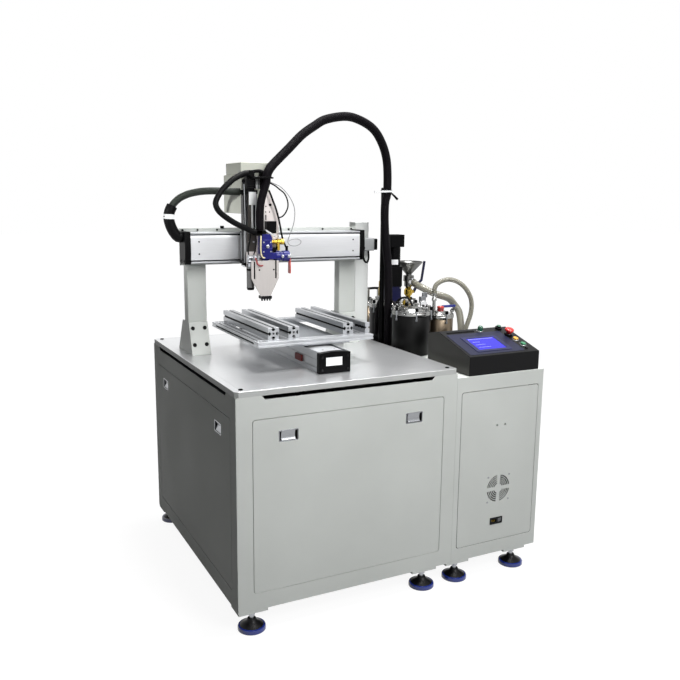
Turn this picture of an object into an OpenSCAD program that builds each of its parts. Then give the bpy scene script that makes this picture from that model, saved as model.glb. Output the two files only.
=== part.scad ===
// Bench-height three-axis glue dispensing machine with pressure pots and a control console.
// Millimetres, +Z up, front faces -Y. The origin is on the floor, under the middle of the cabinets.

/* [Cabinets] */
// Width of the main cabinet
cab_w = 894; // [880:1:940]
// Depth of both cabinets
cab_d = 1096; // [1090:1:1160]
// Height of the main cabinet's shell
cab_h = 774; // [768:1:860]
// Width of the side cabinet
side_w = 426; // [422:1:480]
// Height of the side cabinet
side_h = 756; // [710:1:764]
// Thickness of the cabinet sheet
sheet_t = 2; // [1.5:0.5:3]
// Side of the square tubes of the inner frame
tube = 40; // [30:1:44]
// Wall of the square tubes
tube_wall = 2.5; // [2:0.5:4]
// Plain gap round each lift-off panel
reveal = 2; // [1.5:0.5:4]
// Side margin of the front and left panels
panel_side = 59; // [50:1:70]
// Margin under the panels
panel_low = 62; // [54:1:80]
// Margin over the panels
panel_high = 82; // [76:1:110]
// Height of the hand slot under the base plate
slot_h = 14; // [8:1:20]
// Distance from a panel latch's middle to the cabinet's corner
latch_inset = 192; // [150:1:260]
// Distance from a panel's top edge down to a latch's middle
latch_drop = 68; // [50:1:90]

/* [Levelling feet] */
// Clear height between the floor and the cabinets
foot_h = 76; // [70:1:90]
// Diameter of a foot's pad
pad_d = 100; // [70:1:104]
// Diameter of a foot's stud
stud_d = 16; // [12:1:20]
// Distance from a foot's axis to the front or back of the cabinet
foot_inset_y = 20; // [16:1:40]

/* [Base plate] */
// Thickness of the ground base plate
plate_t = 20; // [16:1:25]
// Diameter of the four corner holes
corner_hole_d = 10.5; // [8:0.5:12]
// Distance from a corner hole to each edge
corner_hole_in = 30; // [24:1:40]

/* [Gantry] */
// Distance from the plate's left edge to the left post
post_x = 47; // [40:1:60]
// Width of a post
post_w = 80; // [70:1:90]
// Depth of a post
post_d = 50; // [40:1:60]
// Distance from the plate's right edge to the right post
post_right = 78; // [72:1:90]
// Distance from the plate's front edge to the posts
post_y = 697; // [690:1:720]
// Height of a post's boot
boot_h = 131; // [110:1:160]
// Height of the cross beam's middle over the plate
beam_up = 436; // [430:1:470]
// Thickness of the beam's backing plate
back_t = 5; // [4:1:8]

/* [Cross beam and long drives] */
// Width of the beam's and the table drive's section
mod_w = 120; // [110:1:126]
// Height of their section
mod_h = 79; // [76:1:84]
// Side wall of the section
mod_wall = 6; // [5:0.5:7]
// Clear slot beside the cover
mod_slot = 6; // [5:0.5:8]
// Thickness of the cover
cover_t = 8; // [6:0.5:10]
// Thickness of a bearing end
cap_t = 24; // [20:1:30]
// How far a bearing end stands proud of the section
cap_proud = 4; // [2:0.5:5]
// Diameter of a drive screw
screw_d = 16; // [12:1:20]
// Side of a drive motor
motor_s = 55; // [50:1:60]
// Distance from the plate's right edge to the beam's right bearing end
beam_right = 101; // [98:1:112]
// Length of the table drive between its bearing ends
y_len = 808; // [800:1:840]
// Distance from the plate's front edge to the table drive
y_front = 128; // [120:1:150]
// Distance from the plate's left edge to the table drive's middle line
y_mid = 433; // [420:1:445]

/* [Work table] */
// Width of the table frame
table_w = 482; // [470:1:500]
// Depth of the table frame
table_d = 544; // [520:1:560]
// Depth of the frame's flat rails
rail_w = 48; // [40:1:54]
// Thickness of the frame's flat rails
rail_t = 20; // [16:1:24]
// Side of the slotted work bars
bar_s = 45; // [40:1:48]
// Length of the long work bars
bar_len = 512; // [505:1:520]
// Length of the short work bar
short_bar_len = 462; // [458:1:500]
// Width of the slots in the bars
tslot_w = 8.2; // [6:0.2:10]

/* [Head drive] */
// Width of the head drive's section
z_w = 56; // [54:1:60]
// Depth of the head drive's section
z_h = 33; // [32:1:36]
// Length of the head drive
z_len = 296; // [292:1:310]
// Side wall of the head drive
z_wall = 9; // [8:0.5:10]
// Clear slot beside its cover
z_slot = 8; // [7:0.5:9]
// Distance from the plate's left edge to the head drive's middle line
head_x = 266; // [250:1:280]
// Height of the head drive's lower end over the plate
z_low = 366; // [362:1:372]
// Thickness of the carriage plates
car_t = 12; // [10:1:13]
// Thickness of the riser behind the head drive
riser_t = 28; // [24:1:32]

/* [Dispensing head] */
// Thickness of the head plate
head_t = 6; // [4:0.5:8]
// Width of the guard plate
guard_w = 111; // [100:1:116]
// Thickness of the guard plate
guard_t = 4; // [3:0.5:6]
// Distance from the head plate to the guard plate
guard_off = 54; // [50:1:60]
// Diameter of the metering cylinder
cyl_d = 30; // [24:1:31]
// Diameter of the mixing tube
mix_d = 16; // [12:0.5:18]
// Diameter of one dispensing tip
tip_d = 5; // [3:0.5:6]

/* [Pots] */
// Diameter of the rear pot
rear_pot_d = 216; // [204:1:218]
// Height of the rear pot
rear_pot_h = 190; // [170:1:196]
// Diameter of the front pot
front_pot_d = 170; // [160:1:176]
// Height of the front pot
front_pot_h = 186; // [170:1:200]
// Diameter of the right pot
right_pot_d = 124; // [112:1:128]
// Height of the right pot
right_pot_h = 156; // [140:1:170]
// Diameter of the small pot
small_pot_d = 104; // [90:1:110]
// Height of the small pot
small_pot_h = 172; // [150:1:180]
// Wall of the pots
pot_wall = 3; // [2:0.5:4]
// Diameter of the funnel's rim
funnel_d = 126; // [110:1:130]

/* [Hose mast] */
// Diameter of the mast
mast_d = 22; // [18:1:24]
// Height of the mast
mast_h = 720; // [690:1:740]

/* [Console] */
// Width of the console
con_w = 345; // [335:1:352]
// Height of the console's front edge
con_front_h = 76; // [68:1:84]
// Height of the console's back edge
con_back_h = 141; // [130:1:150]
// Depth of the console's sloping face, measured level
con_slope_d = 217; // [210:1:224]
// Depth of the console
con_d = 292; // [288:1:300]
// Wall of the console
con_wall = 2.5; // [2:0.5:4]
// Diameter of the round push buttons
button_d = 22; // [18:1:24]
// Diameter of the stop button's head
stop_d = 38; // [32:1:40]

/* [Power inlet and fan] */
// Side of the fan
fan_s = 120; // [110:1:126]
// Thickness of the fan
fan_t = 25; // [22:1:30]
// Width of the power inlet
inlet_w = 61; // [58:1:66]
// Height of the power inlet
inlet_h = 28; // [26:1:32]

/* [Hidden] */
$fn = 48;
eps = 0.01;

// Clearances
run_fit = 0.05;
free_fit = 0.5;
slide_fit = 1;
seat_gap = 0.3;

// Levels and edges, from the main cabinet's lower front left corner
plate_top = cab_h + plate_t;
all_w = cab_w + side_w;
beam_z = plate_top + beam_up;
beam_back = post_y - back_t;
beam_front = beam_back - mod_h;
beam_x0 = post_x - 5;
beam_x1 = cab_w - beam_right;
beam_len = beam_x1 - beam_x0;
post_x2 = cab_w - post_right - post_w;
mod_base = 12;
mod_cover_w = mod_w - 2 * (mod_wall + mod_slot);
screw_up = mod_h * 0.45;
beam_slide_gap = 5;
xcar_back = beam_front - beam_slide_gap;
z_back = xcar_back - car_t - riser_t;
z_front = z_back - z_h;
z_z0 = plate_top + z_low;
z_cap = 14;
z_base = 4;
z_cover = 4;
z_screw_d = 8;
z_screw_up = 15;
slide_x = head_x - 4;
z_cover_w = z_w - 2 * (z_wall + z_slot);
zcar_gap = 2;
zcar_back = z_front - zcar_gap;
head_back = zcar_back - car_t;
head_front = head_back - head_t;
guard_back = head_front - guard_off;
table_gap = 4;
adaptor_t = 8;
table_z = plate_top + mod_h + table_gap + adaptor_t;
bar_z = table_z + rail_t;
table_x0 = y_mid - 14 - table_w / 2;
table_y0 = 246;
bar_seat = 6;
bar_y0 = table_y0 + rail_w - bar_seat;
plate_seat = 34;
side_x = cab_w;

// Panels and latches
panel_z0 = panel_low;
panel_h = cab_h - panel_low - panel_high;
front_panel_w = cab_w - 2 * panel_side;
left_panel_w = cab_d - 2 * panel_side;
latch_z = cab_h - panel_high - latch_drop;
latch_w = 74;
latch_h = 42;
latch_deep = 18;
paddle_w = 52;
paddle_pin_d = 3;
corner_r = 12;

// Pots, from the side cabinet's left front corner
rear_pot = [133, 715];
front_pot = [98, 495];
right_pot = [270, 530];
small_pot = [136, 905];
lid_lip = 3;
lid_t = 8;
funnel_at = [227, 731];
mast_at = [30, 642];
// Glands on the side cabinet: place, diameter and length
glands = [[[45, 606], 44, 14], [[374, 499], 36, 10], [[368, 466], 28, 10]];

// Console controls, across and up the sloping face
con_x = 57;
con_y = 5;
con_tilt = atan((con_back_h - con_front_h) / con_slope_d);
stop_at = [con_w - 46, 150];
yellow_at = [con_w - 41, 107];
green_at = [con_w - 39, 60];
dome_at = [con_w - 151, 208];
lamp_at = [con_w - 52, 212];
small_lamp_at = [con_w - 44, 30];

// Middle of the fan and of the inlet on the side cabinet's front
fan_at = [221, 278];
inlet_at = [217, 140];
side_margin = 25;

module at_cab() { translate([-all_w / 2, -cab_d / 2, foot_h]) children(); }
module at_plate() { at_cab() translate([0, 0, plate_top]) children(); }
module at_side() { at_cab() translate([side_x, 0, side_h]) children(); }
module at_slope() { at_side() translate([con_x, con_y, con_front_h]) rotate([con_tilt, 0, 0]) children(); }

// A box by its low and high corners
module span(low, high) { translate(low) cube(high - low); }

// A plate in X and Z with round corners, its front at y = 0
module face_plate(w, h, t, r) {
    translate([0, t, 0]) rotate([90, 0, 0]) linear_extrude(t) hull() for (x = [r, w - r], y = [r, h - r])
        translate([x, y]) circle(r, $fn = 32);
}

// A square tube between two corners, hollow along the named axis
module hollow_bar(low, high, axis) {
    inset = [for (i = [0:2]) i == axis ? -1 : tube_wall];
    difference() {
        span(low, high);
        span(low + inset, high - inset);
    }
}

// Tube frame of one cabinet with its upper rails at the given height
module tube_frame(x0, w, top, rail_top) {
    s = sheet_t;
    for (x = [x0 + s, x0 + w - s - tube], y = [s, cab_d - s - tube])
        hollow_bar([x, y, s], [x + tube, y + tube, top], 2);
    for (y = [s, cab_d - s - tube], z = [s, rail_top - tube])
        hollow_bar([x0 + s + tube, y, z], [x0 + w - s - tube, y + tube, z + tube], 0);
    for (x = [x0 + s, x0 + w - s - tube], z = [s, rail_top - tube])
        hollow_bar([x, s + tube, z], [x + tube, cab_d - s - tube, z + tube], 1);
}

module cabinet_frame() {
    color("dimgray") at_cab() {
        tube_frame(0, cab_w, cab_h, cab_h - slot_h - tube / 2);
        tube_frame(side_x, side_w, side_h - sheet_t, side_h - sheet_t);
    }
}

// Shell of a cabinet with an open top
module open_shell(x0, w, h) {
    difference() {
        span([x0, 0, 0], [x0 + w, cab_d, h]);
        span([x0 + sheet_t, sheet_t, sheet_t], [x0 + w - sheet_t, cab_d - sheet_t, h + 1]);
    }
}

// Opening for a panel, in X and Z, cut through a front wall
module panel_cut(w, h) { translate([0, -1, 0]) face_plate(w, h, 20, corner_r); }

// Hand slot with sloping ends
module hand_slot(len) {
    translate([0, sheet_t + 1, 0]) rotate([90, 0, 0]) linear_extrude(sheet_t + 2)
        polygon([[slot_h, 0], [len - slot_h, 0], [len, slot_h + 1], [0, slot_h + 1]]);
}

// Turns a shape drawn on the front so that it lies on the left side
module on_left() { translate([0, cab_d, 0]) rotate([0, 0, -90]) children(); }

// Rows of cooling slots in the back sheets
module back_vents(x0, w) {
    pitch = 22;
    rows = 8;
    for (i = [0:rows - 1]) span([x0 + w / 2 - 90, cab_d - sheet_t - 1, 460 + i * pitch],
        [x0 + w / 2 + 90, cab_d + 1, 468 + i * pitch]);
}

// Folded edge round a panel's opening
module opening_fold(w, h) {
    deep = 16;
    translate([-sheet_t, 0, -sheet_t]) face_plate(w + 2 * sheet_t, h + 2 * sheet_t, deep, corner_r + sheet_t);
}

module main_cabinet() {
    slot_in = 93;
    color("#c8cbc6") at_cab() difference() {
        union() {
            open_shell(0, cab_w, cab_h);
            translate([panel_side, 0, panel_z0]) opening_fold(front_panel_w, panel_h);
            on_left() translate([panel_side, 0, panel_z0]) opening_fold(left_panel_w, panel_h);
        }
        translate([panel_side, 0, panel_z0]) panel_cut(front_panel_w, panel_h);
        on_left() translate([panel_side, 0, panel_z0]) panel_cut(left_panel_w, panel_h);
        translate([slot_in, 0, cab_h - slot_h]) hand_slot(cab_w - slot_in * 2 - 10);
        on_left() translate([slot_in, 0, cab_h - slot_h]) hand_slot(cab_d - slot_in * 2);
        back_vents(0, cab_w);
    }
}

module side_cabinet() {
    color("#c8cbc6") at_cab() difference() {
        union() {
            open_shell(side_x, side_w, side_h);
            span([side_x, 0, side_h - sheet_t], [side_x + side_w, cab_d, side_h]);
            for (g = glands) translate([side_x + g[0].x, g[0].y, side_h - sheet_t]) cylinder(h = g[2], d = g[1]);
        }
        translate([side_x + side_margin - reveal, 0, panel_z0 - 6 - reveal])
            panel_cut(side_w - 2 * side_margin + 2 * reveal, side_h - 118 + 2 * reveal);
        back_vents(side_x, side_w);
    }
}

// A lift-off panel drawn on the front: sheet, folded edge, latch trays and bottom pads
module lift_panel(w, h, latches) {
    fold = 14;
    g = reveal;
    pad_w = 30;
    tray_t = 2;
    difference() {
        union() {
            translate([g, 0, g]) difference() {
                face_plate(w - 2 * g, h - 2 * g, fold, corner_r - g);
                translate([sheet_t, sheet_t, sheet_t])
                    face_plate(w - 2 * g - 2 * sheet_t, h - 2 * g - 2 * sheet_t, fold, corner_r - g - sheet_t);
            }
            for (x = [80, w - 80 - pad_w]) span([x, 2, seat_gap / 2], [x + pad_w, 12, g + 1]);
            for (x = latches) translate([x - latch_w / 2 - tray_t, 0, h - latch_drop - latch_h / 2 - tray_t])
                face_plate(latch_w + 2 * tray_t, latch_h + 2 * tray_t, latch_deep, 6);
        }
        for (x = latches) translate([x, 0, h - latch_drop]) {
            translate([-latch_w / 2, -1, -latch_h / 2]) face_plate(latch_w, latch_h, latch_deep - 1, 4);
            translate([0, 4, latch_h / 2 - 4]) rotate([0, 90, 0])
                cylinder(h = latch_w + 2 * tray_t + 1, d = paddle_pin_d, center = true);
        }
    }
}

// A latch paddle on its pin, drawn about the latch's middle
module latch_paddle() {
    bow = 5;
    translate([0, 0, latch_h / 2 - 4]) {
        translate([0, 4, 0]) rotate([0, 90, 0])
            cylinder(h = latch_w + 3, d = paddle_pin_d - 2 * run_fit, center = true);
        rotate([90, 0, 90]) linear_extrude(paddle_w, center = true)
            polygon(concat([[6, 2.5], [1.5, 2.5]],
                [for (i = [0:6]) [1.5 + bow * sin(i * 30), -i * (latch_h - 9) / 6]],
                [for (i = [6:-1:1]) [4 + bow * sin(i * 30), -i * (latch_h - 9) / 6]]));
    }
}

module front_panel() {
    color("#c8cbc6") at_cab() translate([panel_side, 0, panel_z0])
        lift_panel(front_panel_w, panel_h, [latch_inset - panel_side, front_panel_w + panel_side - latch_inset]);
}

module left_panel() {
    color("#bfc2bd") at_cab() on_left() translate([panel_side, 0, panel_z0])
        lift_panel(left_panel_w, panel_h, [latch_inset - panel_side, left_panel_w + panel_side - latch_inset]);
}

module at_latch(x) { translate([x, 0, latch_z]) children(); }

module front_latch_l() { color("silver") at_cab() at_latch(latch_inset) latch_paddle(); }
module front_latch_r() { color("silver") at_cab() at_latch(cab_w - latch_inset) latch_paddle(); }
module left_latch_f() { color("silver") at_cab() on_left() at_latch(cab_d - latch_inset) latch_paddle(); }
module left_latch_b() { color("silver") at_cab() on_left() at_latch(latch_inset) latch_paddle(); }

module side_panel() {
    w = side_w - 2 * side_margin;
    arm = 11;
    color("#c8cbc6") at_cab() difference() {
        translate([side_x + side_margin, 0, panel_z0 - 6]) face_plate(w, side_h - 118, sheet_t, 10);
        translate([side_x + fan_at.x, 0, fan_at.y]) {
            for (a = [0:3]) rotate([0, 45 + a * 90, 0]) translate([fan_hole_pcd / 2, 0, 0])
                rotate([90, 0, 0]) cylinder(h = 20, d = 4.4, center = true);
            rotate([90, 0, 0]) linear_extrude(20, center = true) difference() {
                for (r = [22:8:54]) difference() {
                    circle(r + 2.6);
                    circle(r - 2.2);
                }
                square([130, arm], center = true);
                square([arm, 130], center = true);
            }
        }
        translate([side_x + inlet_at.x - inlet_w / 2 + 3, -1, inlet_at.y - inlet_h / 2 + 2])
            cube([inlet_w - 6, 20, inlet_h - 4]);
        for (x = [-20, 20]) translate([side_x + fan_at.x + x, 0, 545]) rotate([90, 0, 0])
            cylinder(h = 20, d = 8, center = true);
    }
}

// One foot with its axis at the origin and its top against the cabinet
module foot() {
    translate([0, 0, -foot_h]) {
        rotate_extrude() polygon([[0, 0], [pad_d / 2, 0], [pad_d / 2, 9], [pad_d / 2 - 2, 12], [pad_d / 2 - 6, 13],
            [pad_d / 2 - 14, 20], [26, 27], [17, 35], [14, 42], [0, 42]]);
        translate([0, 0, 41]) cylinder(h = foot_h - 41 - foot_plate_t + 1, d = stud_d);
        translate([0, 0, foot_h - foot_plate_t - 13]) cylinder(h = 13 + eps, d = stud_d * 1.7, $fn = 6);
    }
}

foot_plate_t = 10;
foot_xs = [57, cab_w - 125, cab_w + 32, all_w - 106];
foot_ys = [foot_inset_y, cab_d - foot_inset_y];

module levelling_feet() {
    color("#20242c") at_cab() for (x = foot_xs, y = foot_ys) translate([x, y, 0]) {
        foot();
        front = y < cab_d / 2;
        span([-55, front ? -foot_inset_y : -60, -foot_plate_t], [55, front ? 60 : foot_inset_y, 0]);
    }
}

module base_plate() {
    cut = 12;
    color("#b9bcbf") at_cab() translate([0, 0, cab_h]) difference() {
        linear_extrude(plate_t) polygon([[cut, 0], [cab_w - cut, 0], [cab_w, cut], [cab_w, cab_d - cut],
            [cab_w - cut, cab_d], [cut, cab_d], [0, cab_d - cut], [0, cut]]);
        for (x = [corner_hole_in, cab_w - corner_hole_in], y = [corner_hole_in, cab_d - corner_hole_in])
            translate([x, y, -1]) cylinder(h = plate_t + 2, d = corner_hole_d);
    }
}

// Hollow post in a tapered boot with bolt holes
module post(x, top) {
    wall = 6;
    reach_front = 52;
    reach_back = 98;
    y = post_y;
    difference() {
        union() {
            span([x, y, 0], [x + post_w, y + post_d, top]);
            translate([x + post_w, 0, 0]) rotate([90, 0, -90]) linear_extrude(post_w) polygon([
                [-(y - reach_front), 0], [-(y + post_d + reach_back), 0], [-(y + post_d + 31), boot_h],
                [-(y - 6), boot_h]]);
        }
        span([x + wall, y + wall, -1], [x + post_w - wall, y + post_d - wall, top - wall]);
        for (dx = [-25, 25], z = [41, 106]) translate([x + post_w / 2 + dx, y - 70, z]) rotate([-90, 0, 0])
            cylinder(h = 60, d = 12);
    }
}

module gantry() {
    top = beam_up + mod_w / 2;
    duct = [post_x2 + post_w + 2, post_y + 5];
    color("#c4c7c2") at_plate() {
        for (x = [post_x, post_x2]) post(x, top);
        span([beam_x0 - cap_t, beam_back, beam_up - mod_w / 2 - 13], [beam_x1 + 22, post_y, top + 15]);
        difference() {
            span([duct.x, duct.y, 0], [duct.x + 68, duct.y + 60, top + 35]);
            span([duct.x + 3, duct.y + 3, 3], [duct.x + 65, duct.y + 57, top + 32]);
        }
    }
}

// Channel, cover and guide rails of a long drive: length along X, cover on top, side walls in Y
module long_drive(len) {
    half = mod_w / 2;
    difference() {
        span([0, -half, 0], [len, half, mod_h]);
        span([-1, -half + mod_wall, mod_base], [len + 1, half - mod_wall, mod_h + 1]);
        for (s = [-1, 1], z = [18, 48]) translate([-1, s * half - 2, z]) cube([len + 2, 4, 8]);
    }
    for (s = [-1, 1]) span([0, s * 34 - 5, mod_base - eps], [len, s * 34 + 5, mod_base + 10]);
    span([0, -mod_cover_w / 2, mod_h - cover_t], [len, mod_cover_w / 2, mod_h]);
}

// Carriage of a long drive: nut block, two arms through the slots, and the plate over the cover
module long_carriage(x0, len, plate_x0, plate_len, gap, plate_t, plate_w) {
    block_low = mod_base + 10 + free_fit;
    block_top = mod_h - cover_t - 3;
    arm_t = mod_slot - 2 * slide_fit;
    arm_out = mod_cover_w / 2 + slide_fit;
    difference() {
        union() {
            span([x0, -mod_cover_w / 2 + 4, block_low], [x0 + len, mod_cover_w / 2 - 4, block_top]);
            span([x0, -arm_out - arm_t, block_top - 12], [x0 + len, arm_out + arm_t, block_top]);
            for (s = [-1, 1]) translate([x0, s * (arm_out + arm_t / 2) - arm_t / 2, block_top - 12])
                cube([len, arm_t, mod_h + gap + 1 - block_top + 12]);
            span([plate_x0, -plate_w / 2, mod_h + gap], [plate_x0 + plate_len, plate_w / 2, mod_h + gap + plate_t]);
        }
        translate([x0 - 1, 0, screw_up]) rotate([0, 90, 0]) cylinder(h = len + 2, d = screw_d + 2 * free_fit);
    }
}

// Bearing end of a long drive, its inner face at x = 0 and its body toward -X
module drive_end() {
    half = mod_w / 2 + cap_proud;
    crown = 5;
    difference() {
        translate([-cap_t, 0, 0]) rotate([90, 0, 90]) linear_extrude(cap_t) polygon(concat(
            [[-half, 0], [half, 0]],
            [for (i = [0:8]) [half - i * half / 4, mod_h - 3 + crown * sin(i * 22.5)]]));
        translate([-cap_t - 1, 0, screw_up]) rotate([0, 90, 0]) cylinder(h = cap_t + 2, d = screw_d + 2 * run_fit);
    }
}

// Motor of a long drive, its flange at x = 0 and its body toward +X
module drive_motor() {
    h = motor_s / 2;
    difference() {
        union() {
            span([0, -h - 2, screw_up - h - 2], [7, h + 2, screw_up + h + 2]);
            span([7 - eps, -h, screw_up - h], [57, h, screw_up + h]);
            span([57 - eps, -h + 3, screw_up - h + 3], [75, h - 3, screw_up + h - 3]);
        }
        translate([-1, 0, screw_up]) rotate([0, 90, 0]) cylinder(h = 31, d = screw_d + 2 * run_fit);
    }
}

// Screw of a long drive, running from one bearing end through the other and into the motor
module drive_screw(len) {
    translate([-cap_t + 3, 0, screw_up]) rotate([0, 90, 0]) cylinder(h = len + 2 * cap_t - 3 + 25, d = screw_d);
}

module at_beam() { at_cab() translate([beam_x0, beam_back, beam_z]) rotate([90, 0, 0]) children(); }
module at_y() { at_cab() translate([y_mid, y_front + cap_t, plate_top]) rotate([0, 0, 90]) children(); }

module beam_body() { color("#b4b6b9") at_beam() long_drive(beam_len); }
module y_module() { color("#b4b6b9") at_y() long_drive(y_len); }

module module_ends() {
    color("#17171a") {
        at_beam() {
            drive_end();
            translate([beam_len, 0, 0]) mirror([1, 0, 0]) drive_end();
        }
        at_y() {
            drive_end();
            translate([y_len, 0, 0]) mirror([1, 0, 0]) drive_end();
        }
    }
}

module drive_motors() {
    color("#a8a9ab") {
        at_beam() translate([beam_len + cap_t, 0, 0]) drive_motor();
        at_y() translate([y_len + cap_t, 0, 0]) drive_motor();
    }
}

module x_screw() { color("silver") at_beam() drive_screw(beam_len); }
module y_screw() { color("silver") at_y() drive_screw(y_len); }

module y_carriage() {
    from = table_y0 - y_front - cap_t;
    len = 150;
    seat = rail_w - plate_seat;
    color("#6d7074") at_y() long_carriage(from + (table_d - len) / 2, len, from + seat, table_d - 2 * seat,
        table_gap, adaptor_t, 260);
}

// A flat rail with a slot along its top and a slot along its outer edge
module flat_rail(len) {
    difference() {
        cube([len, rail_w, rail_t]);
        for (y = [rail_w / 4, rail_w * 3 / 4]) translate([-1, y - 3, rail_t - 5]) cube([len + 2, 6, 6]);
        translate([-1, -1, rail_t / 2 - 3]) cube([len + 2, 6, 6]);
    }
}

module table_frame() {
    color("#d3d5d6") at_cab() translate([table_x0, table_y0, table_z]) {
        flat_rail(table_w);
        translate([table_w, table_d, 0]) rotate([0, 0, 180]) flat_rail(table_w);
        translate([0, table_d - rail_w, 0]) rotate([0, 0, -90]) flat_rail(table_d - 2 * rail_w);
        translate([table_w, rail_w, 0]) rotate([0, 0, 90]) flat_rail(table_d - 2 * rail_w);
    }
}

// Section of a slotted bar, with its slots on all four sides
module bar_section(w, h) {
    difference() {
        square([w, h], center = true);
        for (a = [0, 180]) rotate(a) translate([w / 2 - 12, -tslot_w / 2]) square([13, tslot_w]);
        for (a = [0, 180]) rotate(a) translate([w / 2 - 12, -tslot_w]) square([7, 2 * tslot_w]);
        if (w > 30) for (a = [90, 270]) rotate(a) {
            translate([h / 2 - 12, -tslot_w / 2]) square([13, tslot_w]);
            translate([h / 2 - 12, -tslot_w]) square([7, 2 * tslot_w]);
        }
        if (w > 30) circle(5);
    }
}

module slotted_bar(x, w, h, len) {
    translate([x, bar_y0, bar_z]) translate([w / 2, len, h / 2]) rotate([90, 0, 0])
        linear_extrude(len) bar_section(w, h);
}

bar_xs = [54, 137, 369];
edge_bar_w = 20;
edge_bar_h = 40;

module table_bars() {
    color("#c9cbcc") at_cab() translate([table_x0, 0, 0]) {
        slotted_bar(bar_xs[0], bar_s, bar_s, bar_len);
        slotted_bar(bar_xs[1], bar_s, bar_s, bar_len);
        slotted_bar(bar_xs[2], bar_s, bar_s, short_bar_len);
        translate([table_w - edge_bar_w + 5, bar_y0, bar_z]) difference() {
            cube([edge_bar_w, bar_len, edge_bar_h]);
            for (x = [-1, edge_bar_w - 4]) translate([x, -1, edge_bar_h / 2 - 4]) cube([5, bar_len + 2, 8]);
        }
    }
}

riser_w = 60;
riser_low = -50;
riser_high = 60;

module x_carriage() {
    face = mod_h + beam_slide_gap + car_t;
    color("#26272a") at_beam() translate([head_x - beam_x0, 0, 0]) {
        long_carriage(-22, 74, -24, 92, beam_slide_gap, car_t, mod_w + 8);
        span([-26, riser_low, face - eps], [riser_w - 26, riser_high, face + riser_t]);
    }
}

module at_head() { at_cab() translate([slide_x, z_back, z_z0]) rotate([0, 0, 90]) rotate([0, -90, 0]) children(); }

// Head drive: length along local X, depth along local Z, with a slotted cover
module z_module() {
    half = z_w / 2;
    color("#a6a8aa") at_head() {
        difference() {
            span([z_cap, -half, 0], [z_len - z_cap, half, z_h]);
            span([z_cap - 1, -half + z_wall, z_base], [z_len - z_cap + 1, half - z_wall, z_h + 1]);
        }
        difference() {
            span([z_cap, -z_cover_w / 2, z_h - z_cover], [z_len - z_cap, z_cover_w / 2, z_h]);
            span([z_cap - 1, -2, z_h - 2], [z_len - z_cap + 1, 2, z_h + 1]);
        }
        for (x = [0, z_len - z_cap]) difference() {
            span([x, -half - 2, 0], [x + z_cap, half + 2, z_h + 1]);
            translate([x - 1, 0, z_screw_up]) rotate([0, 90, 0])
                cylinder(h = z_cap + 2, d = z_screw_d + 2 * run_fit);
        }
        z_motor();
        hose_clip();
    }
}
z_motor_w = 33;
z_motor_h = 65;

// The head drive's motor, on its upper end
module z_motor() {
    span([z_len - eps, -z_motor_w / 2, 0], [z_len + z_motor_h, z_motor_w / 2, z_h + 3]);
}

// Bracket on the head drive's motor that carries the hoses
module hose_clip() {
    up = z_len + 44;
    t = 6;
    reach = 90;
    block_reach = 68;
    span([up, -75, z_h - 5], [up + t, 0, reach]);
    span([up, -z_motor_w / 2, z_h - 5], [up + t, 0, z_h + 20]);
    span([up + 9, 0, z_h - 5], [up + 31, 17, block_reach]);
}

module z_box() {
    x = head_x - 29;
    low = z_low + z_len - box_over;
    lid = low + box_h;
    color("#c3c5bc") at_plate() {
        difference() {
            span([x, z_back + 4, low], [x + box_w, z_back + 4 + box_d, lid]);
            span([x + sheet_t, z_back + 4 + sheet_t, low + sheet_t],
                [x + box_w - sheet_t, z_back + 4 + box_d - sheet_t, lid - sheet_t]);
        }
        span([x - 1, z_back + 3, lid - eps], [x + box_w + 1, z_back + box_d - hood_back, lid + hood_h]);
        span([x, z_back, low], [slide_x + z_w / 2, z_back + 4 + eps, z_low + z_len - 4]);
    }
}
box_w = 119;
box_d = 212;
box_h = 153;
box_over = 92;
hood_back = 34;
hood_h = 46;

module z_screw() {
    color("silver") at_head() translate([2, 0, z_screw_up]) rotate([0, 90, 0]) cylinder(h = z_len - 4, d = z_screw_d);
}

// Nut block inside the head drive, its two arms and the plate in front of the cover
module z_carriage() {
    half = z_w / 2;
    block = [90, 140];
    plate = [20, 140];
    low = z_base + free_fit;
    top = z_h - z_cover - 3;
    arm = z_slot - 2 * slide_fit;
    color("#8b8580") at_head() difference() {
        union() {
            span([block[0], -half + z_wall + slide_fit, low], [block[1], half - z_wall - slide_fit, top]);
            for (s = [-1, 1]) translate([block[0], s * (z_cover_w / 2 + slide_fit + arm / 2) - arm / 2, top - 5])
                cube([block[1] - block[0], arm, z_h + zcar_gap + 1 - top + 5]);
            span([plate[0], -half, z_h + zcar_gap], [plate[1], half - 10, z_h + zcar_gap + car_t]);
        }
        translate([block[0] - 1, 0, z_screw_up]) rotate([0, 90, 0])
            cylinder(h = block[1] - block[0] + 2, d = z_screw_d + 2 * free_fit);
    }
}

// The head's own frame: X from the head drive's middle line, Z over the plate, Y back from the head plate
module at_tool() { at_plate() translate([head_x, head_front, 0]) children(); }
guard_x = 24;
tool_x = 40;
post_holes = [guard_x - 24, guard_x + 36];

hp_left = -30;
hp_right = 106;
hp_in = 12;
hp_neck = 45;
hp_foot = 86;
hp_low = 342;
hp_flare = 400;
hp_wide = 424;
hp_step = 508;
hp_cut = [71, 574];
hp_top = 654;

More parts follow.
